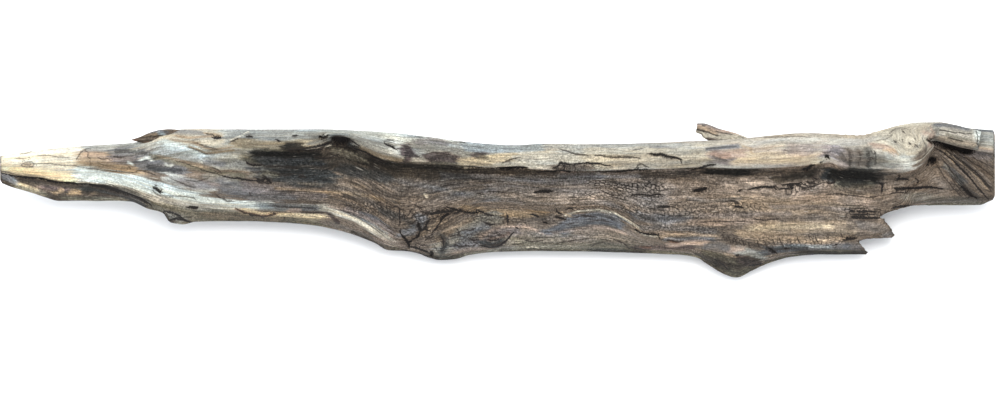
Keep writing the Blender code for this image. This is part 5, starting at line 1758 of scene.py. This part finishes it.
def studio():
    """A pale floor, a broad soft light overhead and the camera that looks down on the piece."""
    floor_mesh = bpy.data.meshes.new("floor")
    corners = [(x * FLOOR_REACH, y * FLOOR_REACH, 0) for x, y in ((-1, -1), (1, -1), (1, 1), (-1, 1))]
    floor_mesh.from_pydata(corners, [], [(0, 1, 2, 3)])
    floor = bpy.data.objects.new("floor", floor_mesh)
    bpy.context.scene.collection.objects.link(floor)
    paper = bpy.data.materials.new("pale_floor")
    paper.use_nodes = True
    surface = paper.node_tree.nodes["Principled BSDF"].inputs
    surface["Base Color"].default_value = FLOOR_TONE
    surface["Roughness"].default_value = 0.9
    surface["Specular IOR Level"].default_value = 0.1
    floor_mesh.materials.append(paper)

    world = bpy.data.worlds.new("studio")
    world.use_nodes = True
    sky = world.node_tree.nodes["Background"].inputs
    sky["Color"].default_value, sky["Strength"].default_value = SKY_TONE, SKY_STRENGTH
    bpy.context.scene.world = world

    light = bpy.data.lights.new("overhead", "AREA")
    light.size, light.energy, light.color = LAMP_WIDTH, LAMP_POWER, LAMP_TONE
    lamp = bpy.data.objects.new("overhead", light)
    lamp.location = LAMP_PLACE
    lamp.rotation_euler = [math.radians(turned) for turned in LAMP_TURN]
    bpy.context.scene.collection.objects.link(lamp)

    view = bpy.data.cameras.new("camera")
    view.type, view.ortho_scale = "ORTHO", VIEW_WIDTH
    view.clip_start, view.clip_end = 0.1, 20.0
    camera = bpy.data.objects.new("camera", view)
    out_of_face = np.array([0.0, -math.cos(LEAN), math.sin(LEAN)])
    camera.location = laid_down(np.array(VIEW_MIDDLE)) + out_of_face * VIEW_DISTANCE
    camera.rotation_euler = (math.pi / 2 - LEAN, 0.0, 0.0)
    bpy.context.scene.collection.objects.link(camera)
    bpy.context.scene.camera = camera
    bpy.context.scene.view_settings.view_transform = "Standard"


BRANCH_PATCHES = with_places(3, (
    ("slate", 0.85, 1.8, 936, 124.5, 950, 126, 968, 129),
    ("stone", 0.8, 4.5, 944, 132, 960, 135, 974, 138),
    ("tan", 0.6, 2.4, 940, 138, 958, 142, 974, 145),
    ("olive", 0.5, 1.2, 946, 134, 960, 138, 972, 140),
    ("bleached", 1, 6, 981, 134, 994, 139),
    ("pink", 0.9, 4.5, 926, 128, 931, 135),
    ("brown", 0.5, 1.6, 934, 137, 946, 142, 956, 146),
    ("brown", 0.8, 1, 958, 146, 972, 149),
))
BRANCH_CRACKS = with_places(1, (
    (0.6, 940, 130, 955, 132.5, 972, 134),
    (0.4, 948, 138, 962, 141, 976, 143),
    (0.6, 976, 131, 978, 137, 977, 143, 980, 149),
))
TWIG_PATCHES = with_places(3, (
    ("slate", 0.6, 1.6, 697, 122.5, 707, 124, 720, 128),
    ("tan", 0.7, 1.6, 698, 127, 706, 129, 716, 133),
    ("cream", 0.9, 3, 698, 134, 712, 138, 730, 137, 748, 139),
    ("plum", 0.7, 1.4, 708, 139, 716, 140.5),
))
TWIG_CRACKS = with_places(1, (
    (1, 696, 129.5, 705, 131.5, 712, 134, 718, 136),
    (0.5, 702, 125, 712, 130),
    (0.4, 716, 131, 732, 135, 744, 138),
))
FLAKE_TOP = (
    (131.5, 60.2, -3, 0.4, 0.4), (141, 62.0, -2.5, 1.5, 1.0), (150, 64.4, -2, 3.0, 1.6),
    (159, 66.0, -1.5, 4.0, 2.0), (168, 66.5, -1, 4.6, 2.2), (178, 65, -2, 5.4, 2.0),
)
FLAKE_LOW = (
    (131.5, 60.2, -0.5, 0.4, 0.4), (140, 59.6, 0.5, 2.0, 0.9), (150, 59.2, 1.2, 3.2, 1.2),
    (160, 58.6, 1.5, 3.8, 1.3), (168, 57.8, 0.5, 3.0, 1.1), (174, 57.4, -1.5, 1.6, 0.9),
)
FLAKE_PATCHES = with_places(3, (
    ("tan", 0.8, 1.4, 146, 137, 156, 134.5),
    ("bluegrey", 0.95, 2.4, 160, 132, 164, 136),
    ("slate", 0.8, 1, 150, 132.5, 158, 130.5, 168, 132),
    ("rust", 0.7, 1, 133, 140, 148, 138.5, 160, 138),
    # painted shade along the gap between the flake's two prongs
    ("umber", 0.8, 0.7, 140, 138.5, 152, 136.5, 162, 136),
))
FLAKE_LOW_PATCHES = with_places(3, (
    ("rust", 0.7, 1, 134, 140, 148, 142, 160, 144),
    # painted shade along the gap between the flake's two prongs
    ("umber", 0.9, 0.8, 138, 141, 148, 140.5, 160, 142, 166, 143),
    ("brown", 0.7, 1, 144, 143, 156, 144),
))

material = wood_finish()
build_log(material)
build_limb("branch_stub", BRANCH, 48, 0.8, "grey", BRANCH_PATCHES, BRANCH_CRACKS, 211, material)
build_limb("twig_stub", TWIG, 32, 0.9, "pink", TWIG_PATCHES, TWIG_CRACKS, 223, material)
build_blade("torn_flake", FLAKE_TOP, "brown", FLAKE_PATCHES, 227, material)
build_blade("torn_flake_edge", FLAKE_LOW, "brown", FLAKE_LOW_PATCHES, 229, material)
studio()
